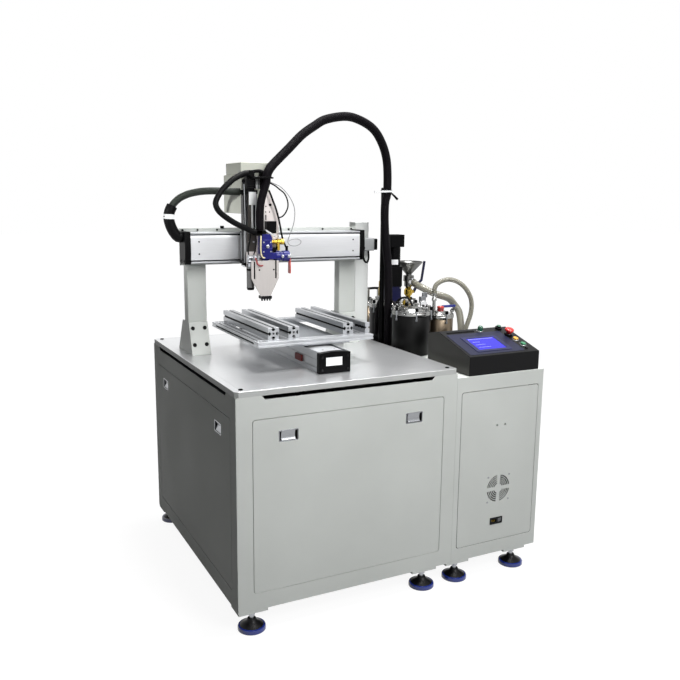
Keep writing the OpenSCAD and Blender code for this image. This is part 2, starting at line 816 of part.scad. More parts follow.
module head_plate() {
    color("#d9cfca") at_tool() difference() {
        translate([0, head_t, 0]) rotate([90, 0, 0]) linear_extrude(head_t) polygon([[hp_left, hp_low],
            [hp_foot, hp_low], [hp_right, hp_flare], [hp_right, hp_cut.y], [hp_cut.x, hp_top], [hp_neck, hp_top],
            [hp_neck, hp_step], [hp_in, hp_step], [hp_in, hp_wide], [hp_left, hp_wide]]);
        for (p = [[52, 600], [51, 578], [67, 578]])
            translate([p.x, -1, p.y]) rotate([-90, 0, 0]) cylinder(h = head_t + 2, d = 5.5);
        translate([69, -1, 606]) rotate([-90, 0, 0]) cylinder(h = head_t + 2, d = 8);
        span([49, -1, 546], [54, head_t + 1, 567]);
    }
}

module pneumatics() {
    color("#3a3c3e") at_tool() {
        span([hp_neck + 1, -sol_d, hp_step - 12], [hp_neck + 1 + sol_w, 0, hp_step - 12 + sol_h]);
        span([-4, -port_d, port_z - 10], [18, 0, port_z + 10]);
        span([-4, -port_d, port_z - 3], [34, 0, port_z + 10]);
        translate([-22, -cyl_d / 2 - 3, cyl_z]) {
            cylinder(h = cyl_len, d = cyl_d);
            translate([0, 0, -6]) cylinder(h = 7, d = cyl_d - 3);
            translate([0, 0, cyl_len - eps]) cylinder(h = 18, d = 20);
            translate([0, 0, cyl_len + 16]) cylinder(h = 26, d = 13);
            span([-9, cyl_d / 2 - 2, cyl_len - 14], [9, cyl_d / 2 + 3, cyl_len + 12]);
            span([-9, 0, cyl_len - 4], [9, cyl_d / 2 + 3, cyl_len + 16]);
        }
    }
}
sol_w = 40;
sol_d = 24;
sol_h = 47;
port_d = 48;
cyl_z = 282;
cyl_len = 84;

valve_axis = 406;
valve_y = -22;
port_z = 498;

module valve_body() {
    mid = valve_axis - 10;
    top = valve_axis + 88;
    color("#1d2c7a") at_tool() {
        span([26, -42, mid], [80, 0, mid + 26]);
        translate([18, 0, 0]) rotate([90, 0, 0]) linear_extrude(44) polygon([[0, mid + 20], [42, mid + 20],
            [42, top - 14], [34, top], [0, top]]);
        translate([tool_x, valve_y, mid - 40]) cylinder(h = 41, r1 = 10, r2 = 15);
        difference() {
            translate([79, valve_y, valve_axis]) rotate([0, 90, 0]) cylinder(h = 60, d = 43);
            translate([120, valve_y, valve_axis]) rotate([0, 90, 0]) cylinder(h = 20, d = 8 + 2 * run_fit);
        }
        translate([130, valve_y, valve_axis + 15]) cylinder(h = 20, d = 11);
        translate([130, valve_y, valve_axis + 34]) cylinder(h = 6, d = 14);
    }
}

module valve_fittings() {
    color("#c9a53a") at_tool() {
        translate([93, valve_y, valve_axis + 23]) cylinder(h = 16, d = 18, $fn = 6);
        translate([93, valve_y, valve_axis + 38]) cylinder(h = 30, d = 16);
        translate([60, valve_y, valve_axis + 57]) rotate([0, 90, 0]) cylinder(h = 44, d = 18);
        translate([103, valve_y, valve_axis + 57]) rotate([0, 90, 0]) cylinder(h = 13, d = 24, $fn = 6);
    }
}

module valve_lever() {
    len = 66;
    color("#c3372f") at_tool() translate([139 + seat_gap, valve_y, valve_axis]) {
        translate([-12, 0, 0]) rotate([0, 90, 0]) cylinder(h = 13, d = 8);
        rotate([0, 90, 0]) cylinder(h = 6, d = 22);
        translate([0, -8, -len]) cube([5, 16, len]);
        translate([0, 0, -len]) rotate([0, 90, 0]) cylinder(h = 5, d = 16);
    }
}

module guard_plate() {
    top = 392;
    knee = 324;
    low = 254;
    half = guard_w / 2;
    tip = 26;
    color("#beb4b2") at_tool() {
        translate([guard_x, -guard_off, 0]) rotate([90, 0, 0]) linear_extrude(guard_t) difference() {
            polygon([[-half, knee], [-tip, low], [tip, low], [half, knee], [half, top], [-half, top]]);
            for (x = [-half + 13, half - 13]) translate([x - 3, knee - 3]) square([6, 72]);
        }
        for (x = post_holes) translate([x, 0, 357]) rotate([90, 0, 0]) cylinder(h = guard_off + eps, d = 10);
    }
}

module nozzle() {
    low = 241;
    color("#1b1b1d") at_tool() {
        translate([tool_x, valve_y, low + 10]) cylinder(h = valve_axis - 50 - low - 10, d = mix_d);
        span([guard_x - 20, -50, low], [guard_x + 33, -14, low + 12]);
        for (i = [0:3]) translate([guard_x - 13 + i * 13, -40, low - 8])
            cylinder(h = 9, r1 = tip_d / 2, r2 = tip_d / 2 + 1.5);
    }
}

// A pot open at the top, standing on the side cabinet
module pot(at, d, h) {
    translate([at.x, at.y, 0]) rotate_extrude($fn = 72) polygon([[0, 0], [d / 2 - 6, 0], [d / 2, 6], [d / 2, h],
        [d / 2 - pot_wall, h], [d / 2 - pot_wall, 8], [0, 8]]);
}

module black_pots() {
    color("#1c1c1c") at_side() {
        pot(rear_pot, rear_pot_d, rear_pot_h);
        pot(front_pot, front_pot_d, front_pot_h);
    }
}

module steel_pots() {
    color("#b5ad9c") at_side() {
        pot(right_pot, right_pot_d, right_pot_h);
        pot(small_pot, small_pot_d, small_pot_h);
    }
}

// A lid with a shallow dome and a ring of clamp knobs
module lid(at, d, h, knobs, knob_r) {
    r = d / 2 + lid_lip;
    translate([at.x, at.y, h]) {
        rotate_extrude($fn = 72) polygon([[0, 0], [r, 0], [r, lid_t], [r - 32, lid_t], [r - 36, lid_t + 6],
            [r * 0.42, lid_t + 12], [0, lid_t + 12]]);
        for (i = [0:knobs - 1]) rotate(i * 360 / knobs + 40) translate([r - 10, 0, lid_t - 1]) {
            cylinder(h = 13, d = knob_r);
            translate([0, 0, 12]) cylinder(h = 9, d = knob_r * 2, $fn = 6);
        }
    }
}

shaft_d = 14;
rear_lid_top = rear_pot_h + lid_t + 12;

module pot_lids() {
    color("#a9a8a4") at_side() {
        difference() {
            union() {
                lid(rear_pot, rear_pot_d, rear_pot_h, 6, 9);
                translate([rear_pot.x - 78, rear_pot.y - 24, rear_pot_h + lid_t]) {
                    cylinder(h = 40, d = 18);
                    translate([0, 0, 39]) cylinder(h = 22, d = 26, $fn = 6);
                    translate([0, 0, 60]) cylinder(h = 46, d = 22);
                }
            }
            translate([rear_pot.x, rear_pot.y, rear_pot_h - 1]) cylinder(h = 40, d = shaft_d + 2 * run_fit);
        }
        lid(front_pot, front_pot_d, front_pot_h, 6, 10);
        difference() {
            union() {
                lid(right_pot, right_pot_d, right_pot_h, 4, 7);
                translate([right_pot.x - 37, right_pot.y - 9, right_pot_h + lid_t - 1]) {
                    cylinder(h = 70, d = 15);
                    translate([0, 0, 60]) cylinder(h = 16, d = 22, $fn = 6);
                    translate([0, 0, 75]) cylinder(h = 20, d = 17);
                }
                translate([pot_tap.x, pot_tap.y, right_pot_h + lid_t]) cylinder(h = 26, d = 30);
            }
            translate([pot_tap.x, pot_tap.y, right_pot_h + lid_t + 15]) cylinder(h = 20, d = 8 + 2 * run_fit);
        }
        lid(small_pot, small_pot_d, small_pot_h, 3, 6);
        translate([small_pot.x, small_pot.y, small_pot_h + lid_t + 11]) {
            for (s = [-1, 1]) span([s * 28 - 5, -6, -8], [s * 28 + 5, 6, 62]);
            span([-33, -6, 55], [33, 6, 66]);
        }
    }
}
pot_tap = [right_pot.x - 2, right_pot.y - 10];

module agitator_drive() {
    z0 = rear_lid_top;
    gear_h = 66;
    block_h = 90;
    block_s = 76;
    motor_d = 60;
    motor_h = 90;
    cap_h = 56;
    color("#151517") at_side() translate([rear_pot.x, rear_pot.y, z0]) difference() {
        union() {
            span([-motor_d / 2 - 2, -motor_d / 2, 0], [motor_d / 2 - 2, motor_d / 2, gear_h]);
            span([-block_s / 2, 2 - block_s / 2, gear_h - 1], [block_s / 2 - 10, block_s / 2 - 2, gear_h + block_h]);
            translate([0, 0, gear_h + block_h - 1]) cylinder(h = motor_h + 2, d = motor_d);
            translate([0, 0, gear_h + block_h + motor_h]) span([3 - block_s / 2, 5 - block_s / 2, 0],
                [block_s / 2 - 1, block_s / 2 - 5, cap_h]);
        }
        translate([0, 0, -2]) cylinder(h = 60, d = shaft_d + 2 * run_fit);
    }
}

module agitator_shaft() {
    color("silver") at_side() translate([rear_pot.x, rear_pot.y, 0]) {
        translate([0, 0, 40]) cylinder(h = rear_lid_top + 10, d = shaft_d);
        for (z = [46, 110], a = [0, 120, 240]) translate([0, 0, z]) rotate([0, 0, a + z]) translate([3, -2, 0])
            cube([rear_pot_d / 2 - 32, 4, 22]);
    }
}

module at_funnel() { at_side() translate([funnel_at.x, funnel_at.y, rear_pot_h + lid_t]) children(); }

// The funnel's cone on its steel neck and coupling
module funnel() {
    color("#9b9a96") at_funnel() {
        rotate_extrude($fn = 72) polygon([[8, valve_top], [20, valve_top], [20, 95], [25, 95], [25, 122], [14, 122],
            [14, 128], [funnel_d / 2, 182], [funnel_d / 2, 187], [funnel_d / 2 - 2, 187], [12, 131], [8, 131]]);
        translate([0, -18, 92]) rotate([90, 0, 0]) difference() {
            cylinder(h = 12, d = 34);
            translate([0, 0, 4]) cylinder(h = 10, d = 26);
        }
    }
}

valve_top = 70;
handle_z = 44;

module fill_valve() {
    color("#c39a3a") at_funnel() difference() {
        union() {
            cylinder(h = 25, d = 24, $fn = 6);
            translate([0, 0, 24]) cylinder(h = 38, d = 40);
            translate([0, 0, 61]) cylinder(h = valve_top - 61, d = 30, $fn = 6);
            translate([10, 0, handle_z]) rotate([0, 90, 0]) cylinder(h = 18, d = 16);
        }
        translate([0, 0, -1]) cylinder(h = 80, d = 10);
        translate([20, 0, handle_z]) rotate([0, 90, 0]) cylinder(h = 12, d = 8 + 2 * run_fit);
    }
}

module funnel_lever() {
    color("#1b2470") at_funnel() translate([28 + seat_gap, 0, handle_z]) {
        translate([-7, 0, 0]) rotate([0, 90, 0]) cylinder(h = 8, d = 8);
        rotate([0, 90, 0]) cylinder(h = 4, d = 16);
        rotate([90, 0, 0]) linear_extrude(12, center = true) polygon([[0, -3], [4, -3], [24, 31], [48, 52],
            [61, 142], [55, 143], [42, 56], [19, 36], [0, 5]]);
    }
}

module pot_lever() {
    color("#1b3aa0") at_side() translate([pot_tap.x, pot_tap.y, right_pot_h + lid_t + 26 + seat_gap]) {
        translate([0, 0, -9]) cylinder(h = 10, d = 8);
        cylinder(h = 8, d = 32);
        span([10, -4, 0], [80, 4, 11]);
    }
}

module mast() {
    clamp_z = 697;
    color("#1a1a1c") at_side() difference() {
        union() {
            translate([mast_at.x, mast_at.y, 0]) cylinder(h = 6, d = mast_d + 5);
            translate([mast_at.x, mast_at.y, 0]) cylinder(h = mast_h, d = mast_d);
            hull() {
                translate([mast_at.x, mast_at.y, clamp_z]) cylinder(h = 14, d = mast_d + 6, $fn = 32);
                translate([hose_top.x, hose_top.y, clamp_z]) cylinder(h = 14, d = main_hose_d + 8, $fn = 32);
            }
        }
        translate([hose_top.x, hose_top.y, clamp_z - 1]) cylinder(h = 16, d = main_hose_d + 0.6);
    }
}
hose_top = [24, 602];

// Side view of the console, in Y and Z
module console_side(in) {
    polygon([[in, -in * 2], [in, con_front_h - in * 0.7], [con_slope_d + in * 0.2, con_back_h - in],
        [con_d - in, con_back_h - 14 - in], [con_d - in, -in * 2]]);
}

// A round hole through the console's face with a collar round it
module collar(at, d, h) { translate([at.x, at.y, -eps]) cylinder(h = h, d = d); }

module console_case() {
    color("#1e1e20") difference() {
        union() {
            at_side() translate([con_x, con_y, 0]) difference() {
                translate([con_w, 0, 0]) rotate([90, 0, -90]) mirror([1, 0, 0]) linear_extrude(con_w) console_side(0);
                translate([con_w - con_wall, 0, 0]) rotate([90, 0, -90]) mirror([1, 0, 0])
                    linear_extrude(con_w - 2 * con_wall) console_side(con_wall);
            }
            at_slope() {
                collar(stop_at, button_d + 12, 10);
                collar(yellow_at, button_d + 7, 3);
                collar(green_at, button_d + 7, 3);
                collar(dome_at, button_d + 7, 3);
                collar(lamp_at, button_d + 7, 8);
                collar(lamp_at, button_d - 3, 14);
                collar(small_lamp_at, 12, 5);
            }
        }
        at_slope() for (p = [stop_at, yellow_at, green_at, dome_at])
            translate([p.x, p.y, -20]) cylinder(h = 40, d = button_d + 2 * free_fit);
    }
}

// A push button's stem and cap, standing out of the face by out
module push_cap(at, out) {
    translate([at.x, at.y, -9]) cylinder(h = 9 + out, d = button_d);
    translate([at.x, at.y, -11]) cylinder(h = 3, d = button_d + 3);
}

module stop_button() {
    color("#cf2a26") at_slope() {
        push_cap(stop_at, 18);
        translate([stop_at.x, stop_at.y, 17]) rotate_extrude() polygon([[0, 0], [stop_d / 2 - 4, 0], [stop_d / 2, 4],
            [stop_d / 2, 9], [stop_d / 2 - 5, 14], [0, 16]]);
    }
}

module yellow_button() { color("#d9a62e") at_slope() push_cap(yellow_at, 9); }
module green_button() { color("#1d6b45") at_slope() push_cap(green_at, 9); }

module dome_button() {
    color("#11634a") at_slope() {
        push_cap(dome_at, 9);
        translate([dome_at.x, dome_at.y, 8]) rotate_extrude() polygon([[0, 0], [button_d / 2, 0], [button_d / 2, 7],
            [button_d / 2 - 3, 12], [0, 14]]);
    }
}

fan_hole_pcd = 105 * sqrt(2);
fan_hub_d = 38;

module at_fan() { at_cab() translate([side_x + fan_at.x, sheet_t, fan_at.y]) rotate([-90, 0, 0]) children(); }

module fan() {
    color("#18181a") at_fan() {
        difference() {
            translate([-fan_s / 2, -fan_s / 2, 0]) cube([fan_s, fan_s, fan_t]);
            translate([0, 0, -1]) cylinder(h = fan_t + 2, d = fan_s - 6);
            for (a = [0:3]) rotate(45 + a * 90) translate([fan_hole_pcd / 2, 0, -1]) cylinder(h = fan_t + 2, d = 4.4);
        }
        for (a = [0:3]) rotate(a * 90 + 45) translate([0, -3, fan_t - 3]) cube([fan_s / 2 - 2, 6, 3]);
        translate([0, 0, fan_t - 3]) cylinder(h = 3, d = fan_hub_d);
        translate([0, 0, 6]) cylinder(h = fan_t - 8, d = 6);
    }
}

module fan_rotor() {
    color("#101012") at_fan() difference() {
        union() {
            translate([0, 0, 4]) cylinder(h = fan_t - 8, d = fan_hub_d - 1);
            for (a = [0:6]) rotate(a * 360 / 7) translate([fan_hub_d / 2 - 3, 0, 13]) rotate([35, 0, 0])
                translate([0, -11, -1]) cube([(fan_s - 6) / 2 - fan_hub_d / 2 - 1, 22, 2]);
        }
        translate([0, 0, 3]) cylinder(h = fan_t, d = 6 + 2 * run_fit);
    }
}

module power_inlet() {
    x0 = -inlet_w / 2;
    color("#141416") at_cab() translate([side_x + inlet_at.x, 0, inlet_at.y]) difference() {
        union() {
            translate([x0, -3, -inlet_h / 2]) cube([inlet_w, 3, inlet_h]);
            translate([x0 + 4, -eps, -inlet_h / 2 + 3]) cube([inlet_w - 8, 28, inlet_h - 6]);
        }
        translate([x0 + 7, -4, -8]) cube([24, 22, 16]);
        translate([rocker_x - 9, -4, -9]) cube([18, 16, 18]);
        translate([rocker_x - 11, 3, 0]) rotate([0, 90, 0]) cylinder(h = 22, d = 3);
    }
    color("#c9a53a") at_cab() translate([side_x + inlet_at.x, 0, inlet_at.y]) for (x = [-18, -11.5, -5])
        translate([x - 1, 2, x == -11.5 ? -6 : -3.5]) cube([2, 17, 5]);
}
rocker_x = 17;

module inlet_rocker() {
    color("#3c3d3f") at_cab() translate([side_x + inlet_at.x + rocker_x, 3, inlet_at.y]) {
        rotate([0, 90, 0]) cylinder(h = 21, d = 3 - 2 * run_fit, center = true);
        rotate([90, 0, 90]) linear_extrude(17, center = true) polygon([[5, -3], [5, 3], [-3, 7.5], [-6.5, 7.8],
            [-4.5, 0], [-3.5, -7.8], [-1, -7.5]]);
    }
}

module control_gear() {
    y1 = cab_d - sheet_t - tube;
    gear_in = 100;
    low = 90;
    rail = low + 110;
    mid = low + 290;
    unit_w = 52;
    unit_h = 160;
    supply_w = 220;
    plc_w = 120;
    relay_w = 28;
    color("#8f9498") at_cab() {
        span([sheet_t + 4, y1 - 3, low], [cab_w - sheet_t - 4, y1, cab_h - 134]);
        for (i = [0:2]) translate([gear_in + 20 + i * unit_w * 1.54, 0, 0])
            span([0, y1 - 123, mid], [unit_w, y1 - 3 + eps, mid + unit_h]);
        translate([gear_in * 3 + 20 + supply_w / 2, 0, 0])
            span([-supply_w / 2, y1 - 103, mid], [supply_w / 2, y1 - 3 + eps, mid + unit_h * 0.75]);
        span([cab_w - gear_in - plc_w, y1 - 93, mid - 20], [cab_w - gear_in, y1 - 3 + eps, mid + unit_h]);
        for (z = [rail, rail + 90]) span([gear_in, y1 - 13, z], [cab_w - gear_in, y1 - 3 + eps, z + 35]);
        for (i = [0:9]) translate([gear_in + 30 + i * relay_w * 1.28, 0, rail - 10])
            span([0, y1 - 63, 0], [relay_w, y1 - 13 + eps, relay_w * 2]);
    }
}

// A cord is one tube swept through its points, each given from the main cabinet's lower front left corner.
// Its diameter is one value, or a list with one for each point.
function tangents(p) = [for (i = [0:len(p) - 1])
    let (d = p[min(i + 1, len(p) - 1)] - p[max(i - 1, 0)]) d / norm(d)];
function side_of(t, ref) = let (v = cross(t, ref)) v / norm(v);
module cord(points, d, ref, sides = 8) {
    t = tangents(points);
    ds = is_list(d) ? d : [for (p = points) d];
    rings = [for (i = [0:len(points) - 1]) let (u = side_of(t[i], ref), w = cross(u, t[i]))
        for (k = [0:sides - 1]) points[i] + ds[i] / 2 * (u * cos(k * 360 / sides) + w * sin(k * 360 / sides))];
    n = len(points);
    walls = [for (i = [0:n - 2], k = [0:sides - 1]) let (a = i * sides + k, b = i * sides + (k + 1) % sides)
        [a, b, b + sides, a + sides]];
    ends = [[for (k = [sides - 1:-1:0]) k], [for (k = [0:sides - 1]) (n - 1) * sides + k]];
    polyhedron(rings, concat(walls, ends), convexity = 6);
}

main_hose_d = 36;
main_hose_route = [[939, 606, 768], [939, 606, 850], [939, 606, 950], [937, 606, 1050], [930, 605, 1150],
    [918, 604, 1240], [910, 603, 1320], [908, 602, 1385], [911, 602, 1422], [918, 602, 1449], [918, 602, 1532],
    [909, 600, 1601], [883, 596, 1663], [838, 589, 1716], [771, 580, 1748], [695, 570, 1760], [598, 558, 1742],
    [541, 550, 1712], [481, 536, 1674], [421, 523, 1621], [377, 513, 1583], [346, 505, 1556], [328, 500, 1537],
    [318, 498, 1520], [316, 498, 1511], [316, 498, 1506]];
head_hose_route = [[315, 498, 1500], [315, 498, 1488], [304, 496, 1460], [291, 494, 1420], [284, 493, 1380],
    [283, 492, 1342], [283, 492, 1318], [283, 492, 1302]];
loop_hose_route = [[245, 512, 1520], [233, 512, 1520], [207, 506, 1509], [172, 496, 1490], [132, 487, 1456],
    [108, 480, 1424], [100, 475, 1403], [106, 472, 1383], [121, 471, 1366], [147, 471, 1347], [180, 472, 1328],
    [216, 475, 1312], [247, 480, 1298], [262, 480, 1298]];
conduit_route = [[18, 655, 1272], [3, 655, 1272], [-13, 655, 1291], [-25, 655, 1316], [-31, 655, 1342],
    [-28, 655, 1369], [-17, 655, 1392], [-5, 654, 1407], [14, 652, 1423], [34, 649, 1433], [52, 645, 1440],
    [89, 632, 1448], [124, 615, 1451], [160, 602, 1451], [196, 591, 1450], [222, 588, 1449], [237, 588, 1449]];
conduit_d = [for (i = [0:len(conduit_route) - 1]) i < 7 ? 42 : 28];
clear_a_route = [[1121, 701, 1046], [1121, 690, 1046], [1132, 676, 1036], [1150, 658, 1024], [1171, 628, 1009],
    [1185, 602, 1000], [1199, 583, 994], [1217, 569, 988], [1242, 563, 976], [1264, 552, 948], [1277, 537, 920],
    [1275, 520, 884], [1269, 504, 846], [1268, 499, 800], [1268, 499, 764]];
clear_b_route = [[1127, 521, 1014], [1127, 521, 1032], [1132, 519, 1049], [1143, 516, 1060], [1160, 512, 1069],
    [1182, 505, 1075], [1206, 497, 1073], [1230, 488, 1064], [1251, 478, 1048], [1270, 470, 1024], [1283, 463, 997],
    [1289, 460, 969], [1289, 459, 942], [1283, 459, 910], [1274, 461, 883], [1266, 464, 854], [1262, 466, 820],
    [1262, 466, 764]];

module main_hose() { color("#221d24") at_cab() cord(main_hose_route, main_hose_d, [0, 1, 0], 12); }
module head_hose() { color("#221d24") at_cab() cord(head_hose_route, 31, [0, 1, 0], 10); }
module loop_hose() { color("#1d1d1f") at_cab() cord(loop_hose_route, 22, [0, 1, 0]); }
module conduit() { color("#3c403c") at_cab() cord(conduit_route, conduit_d, [0, 1, 0], 10); }
module clear_hose_a() { color("#a8a292") at_cab() cord(clear_a_route, 32, [0.7, 0.7, 0], 10); }
module clear_hose_b() { color("#a8a292") at_cab() cord(clear_b_route, 21, [0.3, 1, 0]); }

cabinet_frame();
main_cabinet();
side_cabinet();
side_panel();
front_panel();
left_panel();
front_latch_l();
front_latch_r();
left_latch_f();
left_latch_b();
levelling_feet();
base_plate();
gantry();
beam_body();
module_ends();
drive_motors();
x_screw();
y_module();
y_screw();
y_carriage();
table_frame();
table_bars();
x_carriage();
z_module();
z_box();
z_screw();
z_carriage();
head_plate();
pneumatics();
valve_body();
valve_fittings();
valve_lever();
guard_plate();
nozzle();
black_pots();
steel_pots();
pot_lids();
agitator_drive();
agitator_shaft();
funnel();
fill_valve();
funnel_lever();
pot_lever();
mast();
console_case();
stop_button();
yellow_button();
green_button();
dome_button();
fan();
fan_rotor();
power_inlet();
inlet_rocker();
control_gear();
main_hose();
head_hose();
loop_hose();
conduit();
clear_hose_a();
clear_hose_b();
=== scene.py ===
"""Looks of a three-axis glue dispensing machine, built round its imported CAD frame.

Sizes are millimetres from the main cabinet's lower front left corner: X right, Y back, Z up.
"""

from __future__ import annotations

import logging
import math
from collections.abc import Iterable, Mapping, Sequence
from dataclasses import dataclass
from enum import Enum
from itertools import product
from typing import ClassVar

import bmesh
import bpy
from bpy.types import Material, Node, NodeSocket, NodeTree, Object
from mathutils import Matrix, Vector

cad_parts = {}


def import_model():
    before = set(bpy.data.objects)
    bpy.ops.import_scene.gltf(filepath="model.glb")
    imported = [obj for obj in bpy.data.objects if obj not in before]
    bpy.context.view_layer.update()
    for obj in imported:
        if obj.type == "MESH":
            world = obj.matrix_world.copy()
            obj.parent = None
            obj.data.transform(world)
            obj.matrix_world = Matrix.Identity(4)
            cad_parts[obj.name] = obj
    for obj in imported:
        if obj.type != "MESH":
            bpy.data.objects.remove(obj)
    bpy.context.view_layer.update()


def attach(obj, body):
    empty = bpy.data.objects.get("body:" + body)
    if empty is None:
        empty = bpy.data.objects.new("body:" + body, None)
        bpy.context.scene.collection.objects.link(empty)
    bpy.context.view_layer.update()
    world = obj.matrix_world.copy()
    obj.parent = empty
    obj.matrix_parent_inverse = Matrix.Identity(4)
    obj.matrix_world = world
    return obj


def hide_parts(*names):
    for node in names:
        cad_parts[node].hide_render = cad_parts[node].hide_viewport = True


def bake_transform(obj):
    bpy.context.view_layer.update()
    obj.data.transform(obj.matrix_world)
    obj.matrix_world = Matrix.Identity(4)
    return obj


LOG = logging.getLogger("dispenser")
ORIGIN = Vector((660, 548, -76))
IMAGE_SIDE = 680
PER_METRE = 1000
FRONT, BACK = Vector((0, -1, 0)), Vector((0, 1, 0))
LEFT, RIGHT = Vector((-1, 0, 0)), Vector((1, 0, 0))
UP = Vector((0, 0, 1))
HERE = Matrix.Identity(4)
SHARP_ANGLE = math.radians(32)
PLATE_LOW, PLATE_TOP = 774, 794
SIDE_TOP = 756

Point = Sequence[float]
Outline = Sequence[tuple[float, float]]


class Axis(Enum):
    """A main direction of the machine."""

    X = 0
    Y = 1
    Z = 2


X, Y, Z = Axis


class Surface(Enum):
    """The kind of texture that a finish has."""

    SMOOTH = "smooth"
    PEEL = "peel"
    BRUSHED = "brushed"
    GROUND = "ground"
    WOVEN = "woven"
    CLEAR = "clear"
    LIT = "lit"


SMOOTH, PEEL, BRUSHED, GROUND, WOVEN, CLEAR, LIT = Surface


class Body(str, Enum):
    """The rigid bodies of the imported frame."""

    MACHINE = "machine"
    X_AXIS = "x_axis"
    Z_AXIS = "z_axis"
    Y_AXIS = "y_axis"
    X_SCREW = "x_screw"
    Y_SCREW = "y_screw"
    Z_SCREW = "z_screw"
    FRONT_PANEL = "front_panel"
    LEFT_PANEL = "left_panel"
    LATCH_FL = "front_latch_l"
    LATCH_FR = "front_latch_r"
    LATCH_LF = "left_latch_f"
    LATCH_LB = "left_latch_b"
    FAN = "fan_rotor"
    AGITATOR = "agitator"
    STOP = "stop_button"
    YELLOW = "yellow_button"
    GREEN = "green_button"
    DOME = "dome_button"
    ROCKER = "inlet_rocker"
    VALVE_LEVER = "valve_lever"
    FUNNEL_LEVER = "funnel_lever"
    POT_LEVER = "pot_lever"


@dataclass(frozen=True)
class Finish:
    """How a surface looks."""

    name: str
    slot: str
    rgb: tuple[int, int, int]
    metallic: float = 0.0
    roughness: float = 0.5
    surface: Surface = SMOOTH
    grain: float = 0.0
    along: Axis = X
    coat: float = 0.0
    alpha: float = 1.0
    specular: float = 0.5


CABINET = Finish("cabinet", "painted_cabinet", (210, 213, 209), 0.0, 0.5, PEEL, 0.12, specular=0.05)
# The cabinet's paint made darker for the gantry: painted shade under the beam.
GANTRY_SHADED = Finish("gantry", "painted_cabinet", (186, 189, 185), 0.0, 0.42, PEEL, 0.12, specular=0.2)
DUCT = Finish("duct", "painted_cabinet", (208, 210, 208), 0.0, 0.5, PEEL, 0.1, specular=0.2)
INNER = Finish("inner", "inner_frame", (50, 51, 53), 0.0, 0.6, PEEL, 0.2, specular=0.1)
PLATE = Finish("plate", "ground_plate", (224, 225, 226), 0.8, 0.3, GROUND, 0.05, X)
CHROME = Finish("chrome", "latch_chrome", (225, 226, 228), 1.0, 0.12)
# The latch chrome made dark grey for the recessed cups: painted shade in the latch recesses.
LATCH_CUP_SHADE = Finish("cavity", "latch_chrome", (42, 42, 44), 0.4, 0.4)
FOOT_BLUE = Finish("foot_blue", "foot_plastic", (22, 44, 128), 0.0, 0.22, coat=0.4)
FOOT_BLACK = Finish("foot_black", "foot_plastic", (12, 12, 14), 0.0, 0.35, specular=0.15)
ZINC = Finish("zinc", "screw_steel", (168, 170, 174), 1.0, 0.3, BRUSHED, 0.08, Z)
SILVER = Finish("silver", "anodised", (176, 178, 181), 0.9, 0.36, BRUSHED, 0.06, X)
SILVER_Y = Finish("silver_y", "anodised", (176, 178, 181), 0.9, 0.36, BRUSHED, 0.06, Y)
SILVER_Z = Finish("silver_z", "anodised", (176, 178, 181), 0.9, 0.36, BRUSHED, 0.06, Z)
COVER = Finish("cover", "anodised", (204, 205, 207), 0.55, 0.34, BRUSHED, 0.04, X)
BLACK = Finish("black", "black_paint", (9, 9, 10), 0.0, 0.36, PEEL, 0.05, specular=0.05)
BLACK_GLOSS = Finish("black_gloss", "black_paint", (8, 8, 10), 0.0, 0.2, specular=0.2)
# Near-black for the insides of slots and for the console's recess: painted shade.
SLOT_SHADE = Finish("slot_dark", "black_paint", (7, 7, 8), 0.0, 0.7, specular=0.05)
MOTOR = Finish("motor", "motor_shell", (144, 146, 147), 0.8, 0.42, BRUSHED, 0.06, X)
STEEL = Finish("steel", "screw_steel", (190, 191, 194), 1.0, 0.22)
DARK_PLATE = Finish("dark_plate", "dark_anodised", (74, 70, 67), 0.7, 0.4, BRUSHED, 0.08, Z, specular=0.2)
GREY_PLATE = Finish("grey_plate", "dark_anodised", (142, 145, 149), 0.8, 0.42, BRUSHED, 0.08, Y)
BOX_PAINT = Finish("box_paint", "box_paint", (200, 202, 190), 0.0, 0.45, PEEL, 0.15, specular=0.2)
HEAD_PLATE = Finish("head_plate", "plate_satin", (222, 214, 211), 0.35, 0.4, BRUSHED, 0.05, Z)
GUARD = Finish("guard", "guard_satin", (184, 179, 176), 0.45, 0.42, BRUSHED, 0.04, Z)
CYLINDER = Finish("cylinder", "pneumatic", (104, 104, 104), 0.85, 0.3, BRUSHED, 0.06, Z)
SOLENOID = Finish("solenoid", "pneumatic", (7, 7, 8), 0.0, 0.35, specular=0.06)
VALVE = Finish("valve", "valve_blue", (14, 16, 104), 0.0, 0.3, coat=0.12, specular=0.25)
BRASS = Finish("brass", "brass_fitting", (188, 158, 66), 1.0, 0.26, BRUSHED, 0.06, Z)
RED_GRIP = Finish("red_grip", "lever_red", (206, 56, 46), 0.0, 0.35, coat=0.2)
BLUE_GRIP = Finish("blue_grip", "lever_blue", (26, 40, 128), 0.0, 0.3, coat=0.3)
NAVY_GRIP = Finish("navy_grip", "lever_blue", (16, 18, 54), 0.0, 0.3, specular=0.2)
NOZZLE = Finish("nozzle", "nozzle_black", (17, 17, 19), 0.0, 0.4, specular=0.12)
CREAM = Finish("cream", "nozzle_black", (226, 214, 176), 0.0, 0.35)
POT_BLACK = Finish("pot_black", "pot_black", (9, 9, 9), 0.0, 0.36, PEEL, 0.02, specular=0.14)
POT_STEEL = Finish("pot_steel", "pot_steel", (118, 106, 90), 1.0, 0.3, BRUSHED, 0.08, X)
LID_STEEL = Finish("lid_steel", "lid_steel", (160, 160, 158), 1.0, 0.24, BRUSHED, 0.06, X)
CONSOLE = Finish("console", "console_paint", (20, 20, 21), 0.0, 0.45, PEEL, 0.12, specular=0.1)
CHEEK = Finish("cheek", "console_paint", (66, 65, 63), 0.5, 0.35, PEEL, 0.08, specular=0.2)
